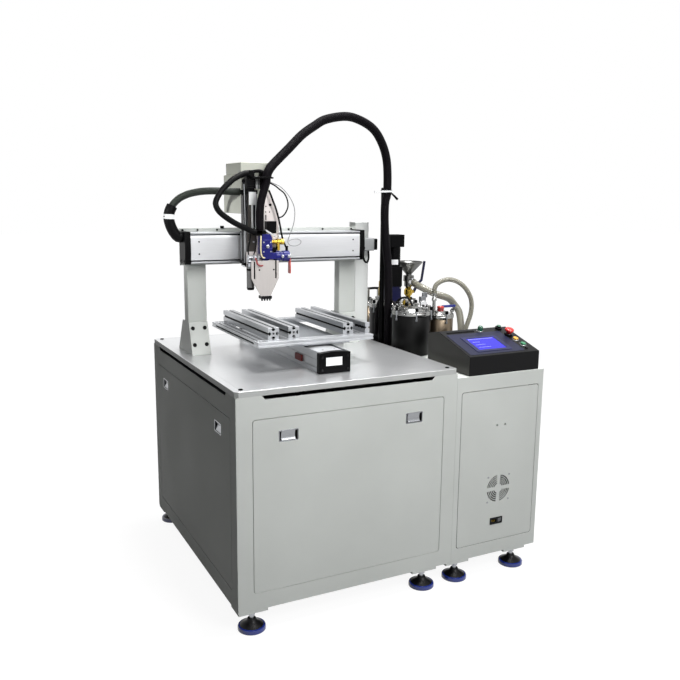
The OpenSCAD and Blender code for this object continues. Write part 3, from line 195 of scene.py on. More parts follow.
OVERLAY = Finish("overlay", "console_paint", (33, 35, 56), 0.0, 0.4, specular=0.12)
BEZEL = Finish("bezel", "console_paint", (42, 44, 76), 0.0, 0.4, specular=0.12)
SCREEN = Finish("screen", "console_paint", (46, 42, 158), 0.0, 0.2, LIT, specular=0.1)
BAR_LIGHT = Finish("bar_light", "console_paint", (108, 110, 190), 0.0, 0.2, LIT, specular=0.1)
RED_CAP = Finish("red_cap", "button_red", (208, 34, 28), 0.0, 0.3, coat=0.3)
YELLOW_CAP = Finish("yellow_cap", "button_yellow", (222, 164, 44), 0.0, 0.3, coat=0.3)
GREEN_CAP = Finish("green_cap", "button_green", (24, 118, 74), 0.0, 0.3, coat=0.3)
DARK_GREEN = Finish("dark_green", "button_green", (10, 84, 54), 0.0, 0.2, coat=0.5)
FAN_BLACK = Finish("fan_black", "fan_plastic", (18, 18, 20), 0.0, 0.5, specular=0.15)
ROCKER = Finish("rocker", "rocker_plastic", (92, 94, 96), 0.0, 0.35)
WEAVE = Finish("weave", "hose_weave", (5, 3, 6), 0.0, 0.55, WOVEN, 0.5, specular=0.07)
RUBBER = Finish("rubber", "hose_rubber", (6, 6, 7), 0.0, 0.42, WOVEN, 0.15, specular=0.08)
CONDUIT = Finish("conduit", "conduit_plastic", (40, 44, 40), 0.0, 0.4, WOVEN, 0.2, specular=0.15)
CLEAR_HOSE = Finish("clear_hose", "hose_clear", (138, 135, 120), 0.0, 0.2, CLEAR, alpha=0.82, specular=0.3)
LATCH = Finish("latch", "latch_chrome", (150, 152, 155), 1.0, 0.22)
FUNNEL_STEEL = Finish("funnel_steel", "lid_steel", (104, 104, 102), 1.0, 0.3, BRUSHED, 0.06, X)
RIM_GREY = Finish("rim_grey", "ground_plate", (188, 190, 188), 0.0, 0.5, specular=0.2)
SENSOR_RED = Finish("sensor_red", "black_paint", (92, 24, 24), 0.0, 0.4, specular=0.2)
WHITE = Finish("white", "anodised", (236, 237, 238), 0.0, 0.5)
LABEL = Finish("label", "anodised", (240, 241, 241), 0.0, 0.45)
TIP_GREY = Finish("tip_grey", "nozzle_black", (48, 48, 50), 0.0, 0.4, specular=0.2)
WIRE_GREY = Finish("wire_grey", "hose_rubber", (150, 150, 152), 0.0, 0.4)
RED_DARK = Finish("red_dark", "lever_red", (128, 22, 26), 0.0, 0.35)
FLOOR = Finish("floor", "floor", (84, 84, 84), 0.0, 0.8)


def linear(rgb: tuple[int, int, int], alpha: float = 1.0) -> tuple[float, float, float, float]:
    """Turns screen colour into the shader's linear colour.

    Args:
        rgb: Red, green and blue from 0 to 255.
        alpha: Opacity from 0 to 1.

    Returns:
        Linear red, green and blue, and the opacity.
    """
    parts = [c / 255 for c in rgb]
    red, green, blue = (c / 12.92 if c <= 0.04045 else ((c + 0.055) / 1.055) ** 2.4 for c in parts)
    return red, green, blue, alpha


def metres(point: Point) -> Vector:
    """Turns cabinet millimetres into the row frame's metres."""
    return (Vector(point) - ORIGIN) / PER_METRE


def shift(x: float, y: float, z: float) -> Matrix:
    """Returns a move in millimetres."""
    return Matrix.Translation((x, y, z))


def turn(degrees: float, axis: Axis) -> Matrix:
    """Returns a turn about one axis."""
    return Matrix.Rotation(math.radians(degrees), 4, axis.name)


BEAM_PLACE = shift(42, 692, 1230) @ turn(90, X)
TABLE_PLACE = shift(433, 152, PLATE_TOP) @ turn(90, Z)


def rounded(
    width: float, height: float, radius: float, at: tuple[float, float] = (0, 0), steps: int = 6
) -> list[tuple[float, float]]:
    """Outline of a rectangle with round corners.

    Args:
        width: Size along the first direction.
        height: Size along the second direction.
        radius: Corner radius.
        at: The low corner.
        steps: Points in each corner, less one.

    Returns:
        The outline's points, counter-clockwise.
    """
    points = []
    for cx, cy, start in (
        (width - radius, radius, -90),
        (width - radius, height - radius, 0),
        (radius, height - radius, 90),
        (radius, radius, 180),
    ):
        for i in range(steps + 1):
            angle = math.radians(start + 90 * i / steps)
            points.append((at[0] + cx + radius * math.cos(angle), at[1] + cy + radius * math.sin(angle)))
    return points


def circle(x: float, y: float, radius: float, sides: int = 24) -> list[tuple[float, float]]:
    """Outline of a circle about a point."""
    return [
        (x + radius * math.cos(math.tau * i / sides), y + radius * math.sin(math.tau * i / sides))
        for i in range(sides)
    ]


def helix(start: float, pitch: float, radius: float, level: float, turns: int, steps: int) -> list[Point]:
    """Points of a screw's thread, which runs along X."""
    angles = [math.tau * i / steps for i in range(steps * turns)]
    return [
        (start + pitch * i / steps, radius * math.cos(a), level + radius * math.sin(a))
        for i, a in enumerate(angles)
    ]


def smooth_path(points: Sequence[Point], step: float) -> list[Vector]:
    """Runs one smooth curve through the points.

    Args:
        points: The points that the curve passes through.
        step: About how far apart the returned points are.

    Returns:
        Points along the curve, ends included.
    """
    knots = [Vector(p) for p in points]
    knots = [2 * knots[0] - knots[1]] + knots + [2 * knots[-1] - knots[-2]]
    path: list[Vector] = []
    for a, b, c, d in zip(knots, knots[1:], knots[2:], knots[3:]):
        count = max(1, round((c - b).length / step))
        for i in range(count):
            t = i / count
            bend = (2 * a - 5 * b + 4 * c - d) * t * t
            twist = (3 * b - a - 3 * c + d) * t**3
            path.append(0.5 * (2 * b + (c - a) * t + bend + twist))
    path.append(knots[-2])
    return path


def add_node(tree: NodeTree, kind: str, inputs: Mapping[str | int, object], **options: str) -> Node:
    """Adds a shader node and fills its sockets.

    Args:
        tree: The node tree that it goes into.
        kind: The last part of its type's name.
        inputs: For each socket a value, or the socket of another node.
        options: The node's own settings.

    Returns:
        The node.
    """
    node = tree.nodes.new("ShaderNode" + kind)
    for name, option in options.items():
        setattr(node, name, option)
    for socket, value in inputs.items():
        if isinstance(value, NodeSocket):
            tree.links.new(value, node.inputs[socket])
        else:
            node.inputs[socket].default_value = value
    return node


class Paint:
    """Makes and keeps the machine's materials."""

    COAT_ROUGHNESS = 0.12
    CLEAR_TRANSMISSION = 0.15
    SCREEN_GLOW = 0.55
    PEEL_SIZE, PEEL_DEPTH, PEEL_TINT = 900, 0.0004, 0.018
    PATCH_SIZE, EVEN = 3.5, (1, 1, 1)
    LINE_STRETCH, LINE_SIZE, LINE_DEPTH, LINE_TINT = 90.0, 14, 0.0005, 0.03
    THREAD_SLANT, THREAD_SCALE, THREAD_DEPTH = 0.9, 5.5, 0.001

    def __init__(self) -> None:
        """Starts with no material made."""
        self._made: dict[str, Material] = {}

    def material(self, finish: Finish) -> Material:
        """Returns the material of a finish, made once.

        Args:
            finish: The look.

        Returns:
            The material.
        """
        if finish.name not in self._made:
            self._made[finish.name] = self._make(finish)
        return self._made[finish.name]

    def _make(self, finish: Finish) -> Material:
        """Makes the material of a finish.

        Args:
            finish: The look.

        Returns:
            The material.
        """
        material = bpy.data.materials.new(finish.name)
        material.use_nodes = True
        shader = material.node_tree.nodes["Principled BSDF"]
        values: dict[str, object] = {
            "Base Color": linear(finish.rgb),
            "Metallic": finish.metallic,
            "Roughness": finish.roughness,
            "Specular IOR Level": finish.specular,
        }
        if finish.coat:
            values |= {"Coat Weight": finish.coat, "Coat Roughness": self.COAT_ROUGHNESS}
        if finish.surface is CLEAR:
            values |= {"Alpha": finish.alpha, "Transmission Weight": self.CLEAR_TRANSMISSION}
        elif finish.surface is LIT:
            values |= {"Emission Color": linear(finish.rgb), "Emission Strength": self.SCREEN_GLOW}
        for socket, value in values.items():
            shader.inputs[socket].default_value = value
        if finish.surface is PEEL:
            self._peel(shader, finish)
        elif finish.surface in (BRUSHED, GROUND):
            self._brush(shader, finish)
        elif finish.surface is WOVEN:
            self._weave(shader, finish)
        return material

    @staticmethod
    def _noise(tree: NodeTree, scale: Sequence[float], size: float, detail: float) -> NodeSocket:
        """Adds a noise in the object's own space."""
        place = add_node(
            tree, "Mapping", {"Scale": scale, "Vector": add_node(tree, "TexCoord", {}).outputs["Object"]}
        )
        return add_node(
            tree, "TexNoise", {"Scale": size, "Detail": detail, "Vector": place.outputs["Vector"]}
        ).outputs["Fac"]

    @staticmethod
    def _bump(shader: Node, height: NodeSocket, strength: float, depth: float) -> None:
        """Bumps a shader's surface."""
        bump = add_node(shader.id_data, "Bump", {"Strength": strength, "Distance": depth, "Height": height})
        shader.id_data.links.new(bump.outputs["Normal"], shader.inputs["Normal"])

    @staticmethod
    def _range(value: NodeSocket, low: float, high: float) -> NodeSocket:
        """Spreads the middle of a noise from low to high."""
        limits = {"From Min": 0.25, "From Max": 0.75, "To Min": low, "To Max": high}
        return add_node(value.id_data, "MapRange", {"Value": value, **limits}).outputs["Result"]

    @staticmethod
    def _tint(shader: Node, value: NodeSocket, rgb: tuple[int, int, int], change: float) -> None:
        """Varies the base colour a little.

        Args:
            shader: The material's main shader.
            value: What the colour follows, from 0 to 1.
            rgb: The middle colour.
            change: How far the colour goes to either side.
        """
        tree = shader.id_data
        dark, light = (
            tuple(min(255, max(0, round(c * part))) for c in rgb)
            for part in (1 - change, 1 + change)
        )
        mix = add_node(
            tree, "Mix", {"A": linear(dark), "B": linear(light), "Factor": value}, data_type="RGBA"
        )
        tree.links.new(mix.outputs["Result"], shader.inputs["Base Color"])

    def _peel(self, shader: Node, finish: Finish) -> None:
        """Gives the slight orange peel of sprayed paint.

        Args:
            shader: The material's main shader.
            finish: The look.
        """
        tree = shader.id_data
        fine = self._noise(tree, self.EVEN, self.PEEL_SIZE, 2)
        self._bump(shader, fine, finish.grain, self.PEEL_DEPTH)
        broad = self._noise(tree, self.EVEN, self.PATCH_SIZE, 3)
        self._tint(shader, self._range(broad, 0, 1), finish.rgb, self.PEEL_TINT)
        gloss = self._range(broad, finish.roughness - 0.05, finish.roughness + 0.06)
        tree.links.new(gloss, shader.inputs["Roughness"])

    def _brush(self, shader: Node, finish: Finish) -> None:
        """Gives the fine lines of brushed or ground metal.

        Args:
            shader: The material's main shader.
            finish: The look.
        """
        tree = shader.id_data
        across = [1.0 if axis is finish.along else self.LINE_STRETCH for axis in Axis]
        lines = self._noise(tree, across, self.LINE_SIZE, 3)
        self._bump(shader, lines, finish.grain, self.LINE_DEPTH)
        size, spread = (2.6, 0.04) if finish.surface is GROUND else (7, 0.05)
        broad = self._noise(tree, self.EVEN, size, 4)
        gloss = self._range(broad, finish.roughness - spread, finish.roughness + spread)
        tree.links.new(gloss, shader.inputs["Roughness"])
        self._tint(shader, self._range(lines, 0, 1), finish.rgb, self.LINE_TINT)

    def _weave(self, shader: Node, finish: Finish) -> None:
        """Gives the crossed threads of a woven sleeve.

        Args:
            shader: The material's main shader.
            finish: The look.
        """
        tree = shader.id_data
        uv = add_node(tree, "UVMap", {})
        threads = []
        for slant in (self.THREAD_SLANT, -self.THREAD_SLANT):
            mapping = add_node(tree, "Mapping", {"Rotation": (0, 0, slant), "Vector": uv.outputs["UV"]})
            wave = add_node(
                tree, "TexWave", {"Scale": self.THREAD_SCALE, "Vector": mapping.outputs["Vector"]}
            )
            threads.append(wave.outputs["Fac"])
        total = add_node(tree, "Math", dict(enumerate(threads)), operation="MAXIMUM").outputs["Value"]
        self._bump(shader, total, finish.grain, self.THREAD_DEPTH)
        self._tint(shader, total, finish.rgb, 0.18 * finish.grain / 0.6)


class Piece:
    """Gathers solids in one mesh, in cabinet millimetres, and turns them into one object."""

    def __init__(self, name: str, place: Matrix | None = None) -> None:
        """Starts an empty piece.

        Args:
            name: The name that it gets.
            place: Where it is drawn.
        """
        self.name = name
        self.place = place or HERE
        self.mesh = bmesh.new()
        self.uv = self.mesh.loops.layers.uv.new("UVMap")

    def _verts(self, points: Iterable[Point]) -> list[bmesh.types.BMVert]:
        """Adds corners, put in the piece's place."""
        return [self.mesh.verts.new(self.place @ Vector(p)) for p in points]

    def _face(self, verts: Sequence[bmesh.types.BMVert]) -> bmesh.types.BMFace:
        """Adds a face between corners."""
        return self.mesh.faces.new(verts)

    def block(self, low: Point, high: Point) -> Piece:
        """Adds a box by its low and high corners.

        Args:
            low: The low corner.
            high: The high corner.

        Returns:
            This piece.
        """
        x0, y0, z0 = low
        x1, y1, z1 = high
        v = self._verts([(x, y, z) for z in (z0, z1) for x, y in ((x0, y0), (x1, y0), (x1, y1), (x0, y1))])
        for ring in ((3, 2, 1, 0), (4, 5, 6, 7), (0, 1, 5, 4), (1, 2, 6, 5), (2, 3, 7, 6), (3, 0, 4, 7)):
            self._face([v[i] for i in ring])
        return self

    @staticmethod
    def _spread(axis: Axis, u: float, v: float, w: float) -> Point:
        """Sorts two drawn coordinates and the one along the axis."""
        return {X: (w, u, v), Y: (u, w, v), Z: (u, v, w)}[axis]

    def prism(
        self, axis: Axis, outline: Outline, low: float, high: float, holes: Sequence[Outline] = ()
    ) -> Piece:
        """Adds a plate: an outline with holes, drawn in the other two directions and raised along one.

        Args:
            axis: The direction that the plate is raised along.
            outline: Its outer corners.
            low: Where it starts along the axis.
            high: Where it ends along the axis.
            holes: The corners of each hole.

        Returns:
            This piece.
        """
        caps: list[list[bmesh.types.BMEdge]] = [[], []]
        for loop in (outline, *holes):
            rows = [self._verts([self._spread(axis, u, v, w) for u, v in loop]) for w in (low, high)]
            count = len(loop)
            for i in range(count):
                j = (i + 1) % count
                self._face((rows[0][i], rows[0][j], rows[1][j], rows[1][i]))
            for cap, row in zip(caps, rows):
                cap += [self.mesh.edges.get((row[i], row[(i + 1) % count])) for i in range(count)]
        for cap in caps:
            if holes:
                bmesh.ops.triangle_fill(self.mesh, use_beauty=True, use_dissolve=False, edges=cap)
            else:
                bmesh.ops.contextual_create(self.mesh, geom=cap)
        return self

    def cylinder(
        self, start: Point, end: Point, radius: float, end_radius: float | None = None, sides: int = 32
    ) -> Piece:
        """Adds a cylinder or a cone between two points."""
        along = Vector(end) - Vector(start)
        return self.turned(
            start, [(radius, 0), (radius if end_radius is None else end_radius, along.length)], sides, along
        )

    def drum(
        self, base: Point, radius: float, height: float, sides: int = 48, along: Vector | Axis = Z
    ) -> Piece:
        """Adds a plain cylinder that stands on a point."""
        return self.turned(base, [(radius, 0), (radius, height)], sides, along)

    def turned(self, base: Point, profile: Outline, sides: int = 48, along: Vector | Axis = Z) -> Piece:
        """Adds a turned solid whose profile is closed flat onto its axis."""
        return self.revolve(base, [(0, profile[0][1]), *profile, (0, profile[-1][1])], sides, along)

    def revolve(self, base: Point, profile: Outline, sides: int = 48, along: Vector | Axis = Z) -> Piece:
        """Adds a solid by turning a closed profile round an axis.

        Args:
            base: Where the axis starts.
            profile: Pairs of a radius and a distance along the axis, the last joined to the first.
            sides: Flats round the axis.
            along: The axis's direction.

        Returns:
            This piece.
        """
        if isinstance(along, Axis):
            along = Vector([1.0 if a is along else 0.0 for a in Axis])
        frame = along.normalized().to_track_quat("Z", "Y").to_matrix().to_4x4()
        frame = Matrix.Translation(Vector(base)) @ frame
        rings = []
        for radius, height in profile:
            if radius < 1e-6:
                rings.append(self._verts([frame @ Vector((0, 0, height))]))
                continue
            rings.append(
                self._verts([frame @ Vector((x, y, height)) for x, y in circle(0, 0, radius, sides)])
            )
        closed = list(zip(rings, rings[1:]))
        if len(rings[0]) > 1 or len(rings[-1]) > 1:
            closed.append((rings[-1], rings[0]))
        for a, b in closed:
            for i in range(sides):
                j = (i + 1) % sides
                if len(a) == 1 and len(b) == 1:
                    break
                if len(a) == 1:
                    self._face((a[0], b[j], b[i]))
                elif len(b) == 1:
                    self._face((a[i], a[j], b[0]))
                else:
                    self._face((a[i], a[j], b[j], b[i]))
        return self

    def tube(
        self, path: Sequence[Point], radius: float | Sequence[float], sides: int = 20, closed: bool = False
    ) -> Piece:
        """Adds a round tube along a path, with a texture map that runs along it.

        Args:
            path: The points of its middle line.
            radius: One radius, or one for each point.
            sides: Flats round it.
            closed: Whether the end joins the start.

        Returns:
            This piece.
        """
        points = [Vector(p) for p in path]
        radii = list(radius) if isinstance(radius, Sequence) else [radius] * len(points)
        count = len(points)
        if closed:
            tangents = [(points[(i + 1) % count] - points[i - 1]).normalized() for i in range(count)]
        else:
            tangents = [
                (points[min(i + 1, count - 1)] - points[max(i - 1, 0)]).normalized()
                for i in range(count)
            ]
        normal = tangents[0].orthogonal().normalized()
        rings, lengths, run = [], [], 0.0
        for i, (point, tangent) in enumerate(zip(points, tangents)):
            normal = (normal - tangent * normal.dot(tangent)).normalized()
            other = tangent.cross(normal)
            run += (point - points[i - 1]).length if i else 0.0
            lengths.append(run)
            ring = []
            for k in range(sides):
                a = math.tau * k / sides
                ring.append(point + radii[i] * (normal * math.cos(a) + other * math.sin(a)))
            rings.append(self._verts(ring))
        pairs = [(i, i + 1) for i in range(count - 1)] + ([(count - 1, 0)] if closed else [])
        for i, j in pairs:
            for k in range(sides):
                n = (k + 1) % sides
                face = self._face((rings[i][k], rings[i][n], rings[j][n], rings[j][k]))
                around = (k / sides, (k + 1) / sides)
                spots = (
                    (around[0], lengths[i]), (around[1], lengths[i]), (around[1], lengths[j]),
                    (around[0], lengths[j])
                )
                for loop, (u, v) in zip(face.loops, spots):
                    loop[self.uv].uv = (u * 4, v / (math.tau * radii[i]) * 4)
        if not closed:
            self._face(list(reversed(rings[0])))
            self._face(rings[-1])
        return self

    def curve(self, points: Sequence[Point], step: float, radius: float, sides: int) -> Piece:
        """Adds a round tube along a smooth curve through the points."""
        return self.tube(smooth_path(points, step), radius, sides)

    def screw(self, at: Point, out: Vector, radius: float, height: float) -> Piece:
        """Adds a socket cap screw's head that stands on a face."""
        rim = [(radius, 0), (radius, height * 0.88), (radius * 0.9, height)]
        return self.turned(at, [*rim, (radius * 0.5, height), (radius * 0.5, height * 0.45)], 18, out)

    def build(
        self, finish: Finish, body: Body, paint: Paint, bevel: float = 0.8, replaces: Sequence[str] = (),
        ride: bool = True
    ) -> Object:
        """Turns the gathered solids into an object.

        Args:
            finish: Its look.
            body: The frame body that it moves with.
            paint: The maker of materials.
            bevel: Width of its softened edges.
            replaces: The CAD nodes that it stands for.
            ride: Whether it moves with the body as one piece.

        Returns:
            The object.
        """
        bmesh.ops.recalc_face_normals(self.mesh, faces=self.mesh.faces)
        for vert in self.mesh.verts:
            vert.co = metres(vert.co)
        LOG.info("piece %s on %s", self.name, body.value)
        data = bpy.data.meshes.new(self.name)
        self.mesh.to_mesh(data)
        self.mesh.free()
        data.shade_smooth()
        data.set_sharp_from_angle(angle=SHARP_ANGLE)
        data.materials.append(paint.material(finish))
        item = bpy.data.objects.new(self.name, data)
        bpy.context.scene.collection.objects.link(item)
        if bevel:
            edge = item.modifiers.new("edges", "BEVEL")
            edge.width = bevel / PER_METRE
            edge.segments = 2
            edge.limit_method = "ANGLE"
            edge.angle_limit = SHARP_ANGLE
            edge.harden_normals = True
        if ride:
            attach(item, body.value)
        if replaces:
            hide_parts(*replaces)
        return item


@dataclass
class Assembly:
    """A group of pieces of the machine."""

    BODY: ClassVar[Body] = Body.MACHINE

    paint: Paint

    def build(self) -> None:
        """Makes the group's pieces."""
        raise NotImplementedError

    def add(
        self, piece: Piece, finish: Finish, bevel: float, *nodes: str, body: Body | None = None
    ) -> None:
        """Finishes a piece on the group's own body, or on another."""
        piece.build(finish, body or self.BODY, self.paint, bevel, nodes)


@dataclass
class Cabinets(Assembly):
    """The two sheet cabinets with their panels, inner frames and latches."""

    width: float = 894
    depth: float = 1096
    height: float = PLATE_LOW
    side_width: float = 426
    side_height: float = SIDE_TOP
    sheet: float = 2
    tube: float = 40
    margin: float = 59
    low: float = 62
    panel_height: float = 630
    latch_in: float = 192
    latch_z: float = 624

    @property
    def left(self) -> Matrix:
        """The turn that lays what is drawn on the front onto the left side."""
        return shift(0, self.depth, 0) @ turn(-90, Z)

    def build(self) -> None:
        """Makes the shells, the inner frames, the panels and their latches."""
        self._shells()
        self._frames()
        self._side_panel()
        front = self.width - 2 * self.margin
        side = self.depth - 2 * self.margin
        self._panel("front_panel", HERE, front, Body.FRONT_PANEL, self.latch_in, self.width - self.latch_in)
        self._panel(
            "left_panel", self.left, side, Body.LEFT_PANEL, self.latch_in, self.depth - self.latch_in
        )
        for node, place, x, body in (
            ("front_latch_l", HERE, self.latch_in, Body.LATCH_FL),
            ("front_latch_r", HERE, self.width - self.latch_in, Body.LATCH_FR),
            ("left_latch_f", self.left, self.depth - self.latch_in, Body.LATCH_LF),
            ("left_latch_b", self.left, self.latch_in, Body.LATCH_LB),
        ):
            self._paddle(node, place @ shift(x, 0, self.latch_z), body)

    @staticmethod
    def _vents(middle: float) -> list[Outline]:
        """The eight slots in a back sheet, one above another."""
        return [rounded(180, 8, 3.9, (middle - 90, 460 + 22 * i), 3) for i in range(8)]

    def _shells(self) -> None:
        """Makes the sheet shells and the glands that the hoses leave through."""
        w, d, h, t = self.width, self.depth, self.height, self.sheet
        shell = Piece("main_shell")
        for place, size, slot in ((HERE, w, (93, 791)), (self.left, d, (93, 1003))):
            shell.place = place
            notch = [
                (0, 0), (size, 0), (size, h), (slot[1], h), (slot[1] - 14, h - 14), (slot[0] + 14, h - 14),
                (slot[0], h), (0, h)
            ]
            opening = rounded(size - 2 * self.margin, self.panel_height, 12, (self.margin, self.low))
            shell.prism(Y, notch, 0, t, [opening])
            fold = rounded(
                size - 2 * self.margin + 4, self.panel_height + 4, 14, (self.margin - 2, self.low - 2)
            )
            shell.prism(Y, fold, t, 16, [opening])
        shell.place = HERE
        shell.block((w - t, t, 0), (w, d - t, h))
        shell.prism(Y, [(0, 0), (w, 0), (w, h), (0, h)], d - t, d, self._vents(w / 2))
        shell.block((t, t, 0), (w - t, d - t, t))
        self.add(shell, CABINET, 0.9, "main_cabinet")
        x, w, h = self.width, self.side_width, self.side_height
        side = Piece("side_shell")
        opening = rounded(w - 46, 642, 10, (x + 23, 54))
        sheet = [(x, 0), (x + w, 0), (x + w, h), (x, h)]
        side.prism(Y, sheet, 0, t, [opening])
        side.prism(Y, sheet, d - t, d, self._vents(x + w / 2))
        side.block((x, t, 0), (x + t, d - t, h))
        side.block((x + w - t, t, 0), (x + w, d - t, h))
        side.block((x + t, t, 0), (x + w - t, d - t, t))
        side.block((x + t, t, h - t), (x + w - t, d - t, h))
        self.add(side, CABINET, 0.9, "side_cabinet")
        glands = Piece("hose_glands")
        for gx, gy, r, top in ((931, 606, 24, 768), (1268, 499, 18, 764), (1262, 466, 14, 764)):
            glands.turned((gx, gy, h), [(r, 0), (r, 5), (r - 4, top - h)], 32)
        self.add(glands, BLACK, 0.6)

    def _frames(self) -> None:
        """Makes the tube frames inside both shells."""
        s, t, d = self.sheet, self.tube, self.depth
        bars = Piece("inner_frames")
        for x0, w, top, rail_top in (
            (0, self.width, self.height, 740), (self.width, self.side_width, 754, 754)
        ):
            for x in (x0 + s, x0 + w - s - t):
                for y in (s, d - s - t):
                    bars.block((x, y, s), (x + t, y + t, top))
                for z in (s, rail_top - t):
                    bars.block((x, s + t, z), (x + t, d - s - t, z + t))
            for y, z in product((s, d - s - t), (s, rail_top - t)):
                bars.block((x0 + s + t, y, z), (x0 + w - s - t, y + t, z + t))
        self.add(bars, INNER, 1.5, "cabinet_frame")
        self._controls()

    def _controls(self) -> None:
        """Makes the plate with the control gear inside the main cabinet."""
        back = self.depth - self.sheet - self.tube
        self.add(
            Piece("control_plate").block((6, back - 3, 90), (888, back, 640)), ZINC, 0.5, "control_gear"
        )
        gear = Piece("control_boxes")
        for i in range(3):
            gear.block((120 + 80 * i, back - 123, 380), (172 + 80 * i, back - 3, 540))
        gear.block((420, back - 103, 380), (640, back - 3, 500))
        gear.block((680, back - 93, 360), (800, back - 3, 560))
        self.add(gear, MOTOR, 1.5)
        rails = Piece("terminal_rows")
        for z in (200, 290):
            rails.block((100, back - 13, z), (800, back - 3, z + 35))
        for i in range(10):
            rails.block((130 + 36 * i, back - 63, 190), (158 + 36 * i, back - 13, 245))
        self.add(rails, ROCKER, 0.8)

    def _panel(self, name: str, place: Matrix, width: float, body: Body, *latches: float) -> None:
        """Makes a lift-off panel with the trays of its latches.

        Args:
            name: The name that it gets.
            place: Where it is drawn.
            width: The panel's opening.
            body: The body that it moves with.
            latches: Where the latches are, along the cabinet.
        """
        gap, fold, h = 2, 14, self.panel_height
        spots = [x - self.margin for x in latches]
        at = place @ shift(self.margin, 0, self.low)
        face = Piece(name, at)
        trays = [rounded(74, 42, 4, (x - 37, h - 89)) for x in spots]
        outer = rounded(width - 2 * gap, h - 2 * gap, 10, (gap, gap))
        face.prism(Y, outer, 0, 2, trays)
        inner = rounded(width - 2 * gap - 4, h - 2 * gap - 4, 8, (gap + 2, gap + 2))
        face.prism(Y, outer, 2, fold, [inner])
        for x in (80, width - 110):
            face.block((x, 2, 0.15), (x + 30, 12, 3))
        self.add(face, CABINET, 0.9, name, body=body)
        cups = Piece(name + "_cups", at)
        rims = Piece(name + "_rims", at)
        for x in spots:
            z = h - 68
            cup, tray = rounded(78, 46, 6, (x - 39, z - 23)), rounded(74, 42, 4, (x - 37, z - 21))
            cups.prism(Y, cup, 2, 17, [tray])
            cups.prism(Y, cup, 17, 18)
            rims.prism(Y, tray, 0, 3, [rounded(68, 36, 3, (x - 34, z - 18))])
            for dx in (-28, 28):
                rims.cylinder((x + dx, 15, z + 12), (x + dx, 17, z + 12), 3, sides=16)
        # The cups' dark grey is painted shade in the recesses.
        self.add(cups, LATCH_CUP_SHADE, 0, body=body)
        self.add(rims, LATCH, 0.5, body=body)

    def _paddle(self, node: str, place: Matrix, body: Body) -> None:
        """Makes the folding paddle of a latch.

        Args:
            node: The CAD node that it stands for.
            place: Where it is drawn.
            body: The body that it moves with.
        """
        paddle = Piece(node, place @ shift(0, 0, 17))
        front = [(1.5 + 5 * math.sin(math.radians(i * 180 / 12)), -i * 33 / 12) for i in range(13)]
        back = [(4.0 + 5 * math.sin(math.radians(i * 180 / 12)), -i * 33 / 12) for i in range(12, 1, -1)]
        paddle.prism(X, [(6, 2.5), (1.5, 2.5), *front, *back], -26, 26)
        paddle.cylinder((-38.5, 4, 0), (38.5, 4, 0), 1.45, sides=20)
        self.add(paddle, LATCH, 0.5, node, body=body)

    def _side_panel(self) -> None:
        """Makes the side cabinet's screwed panel with the fan's guard slots."""
        x, width = self.width + 25, self.side_width - 50
        panel = Piece("side_panel")
        cx, cz, holes = self.width + 221, 278, []
        for radius in (22, 30, 38, 46, 54):
            half = math.degrees(math.asin(5.5 / radius)) + 3
            for quarter in range(4):
                a0, a1 = 90 * quarter + half, 90 * quarter + 90 - half
                arc = [math.radians(a0 + (a1 - a0) * i / 9) for i in range(10)]
                slot = []
                for r, along in ((radius + 2.6, arc), (radius - 2.2, arc[::-1])):
                    slot += [(cx + r * math.cos(a), cz + r * math.sin(a)) for a in along]
                holes.append(slot)
        holes.append([(x + 164.5, 128), (x + 219.5, 128), (x + 219.5, 152), (x + 164.5, 152)])
        holes += [circle(cx + dx, 545, 4) for dx in (-20, 20)]
        panel.prism(Y, rounded(width, 638, 10, (x, 56)), 0, 2, holes)
        self.add(panel, CABINET, 0.6, "side_panel")
        bolts = Piece("panel_screws")
        for dx, dz in product((-52.5, 52.5), (-52.5, 52.5)):
            bolts.screw((cx + dx, 0, cz + dz), FRONT, 4, 2)
        self.add(bolts, ZINC, 0.3)


@dataclass
class Feet(Assembly):
    """The levelling feet under the cabinets."""

    across: tuple[float, ...] = (57, 769, 926, 1214)
    back: tuple[float, ...] = (20, 1076)
    floor: float = -76

    def build(self) -> None:
        """Makes a pad, a bell, a stud and a plate for each foot."""
        pads, bells, studs = Piece("foot_pads"), Piece("foot_bells"), Piece("foot_studs")
        plates = Piece("foot_plates")
        for x, y in product(self.across, self.back):
            pads.turned((x, y, self.floor), [(48, 0), (50, 2), (50, 12), (48, 16), (43, 17)], 56)
            bells.turned((x, y, self.floor), [(42.5, 17), (37, 21.5), (27, 27), (18, 34), (14.5, 42)], 48)
            studs.cylinder((x, y, -36), (x, y, -9), 8, sides=28)
            studs.turned((x, y, -23), [(12, 0), (13.4, 1.2), (13.4, 11.8), (12, 13)], 6)
            near, far = (0, 80) if y == self.back[0] else (y - 60, y + 20)
            plates.block((x - 55, near, -10), (x + 55, far, 0))
        self.add(pads, FOOT_BLUE, 0, "levelling_feet")
        self.add(bells, FOOT_BLACK, 0)
        self.add(studs, ZINC, 0.4)
        self.add(plates, CABINET, 0.8)


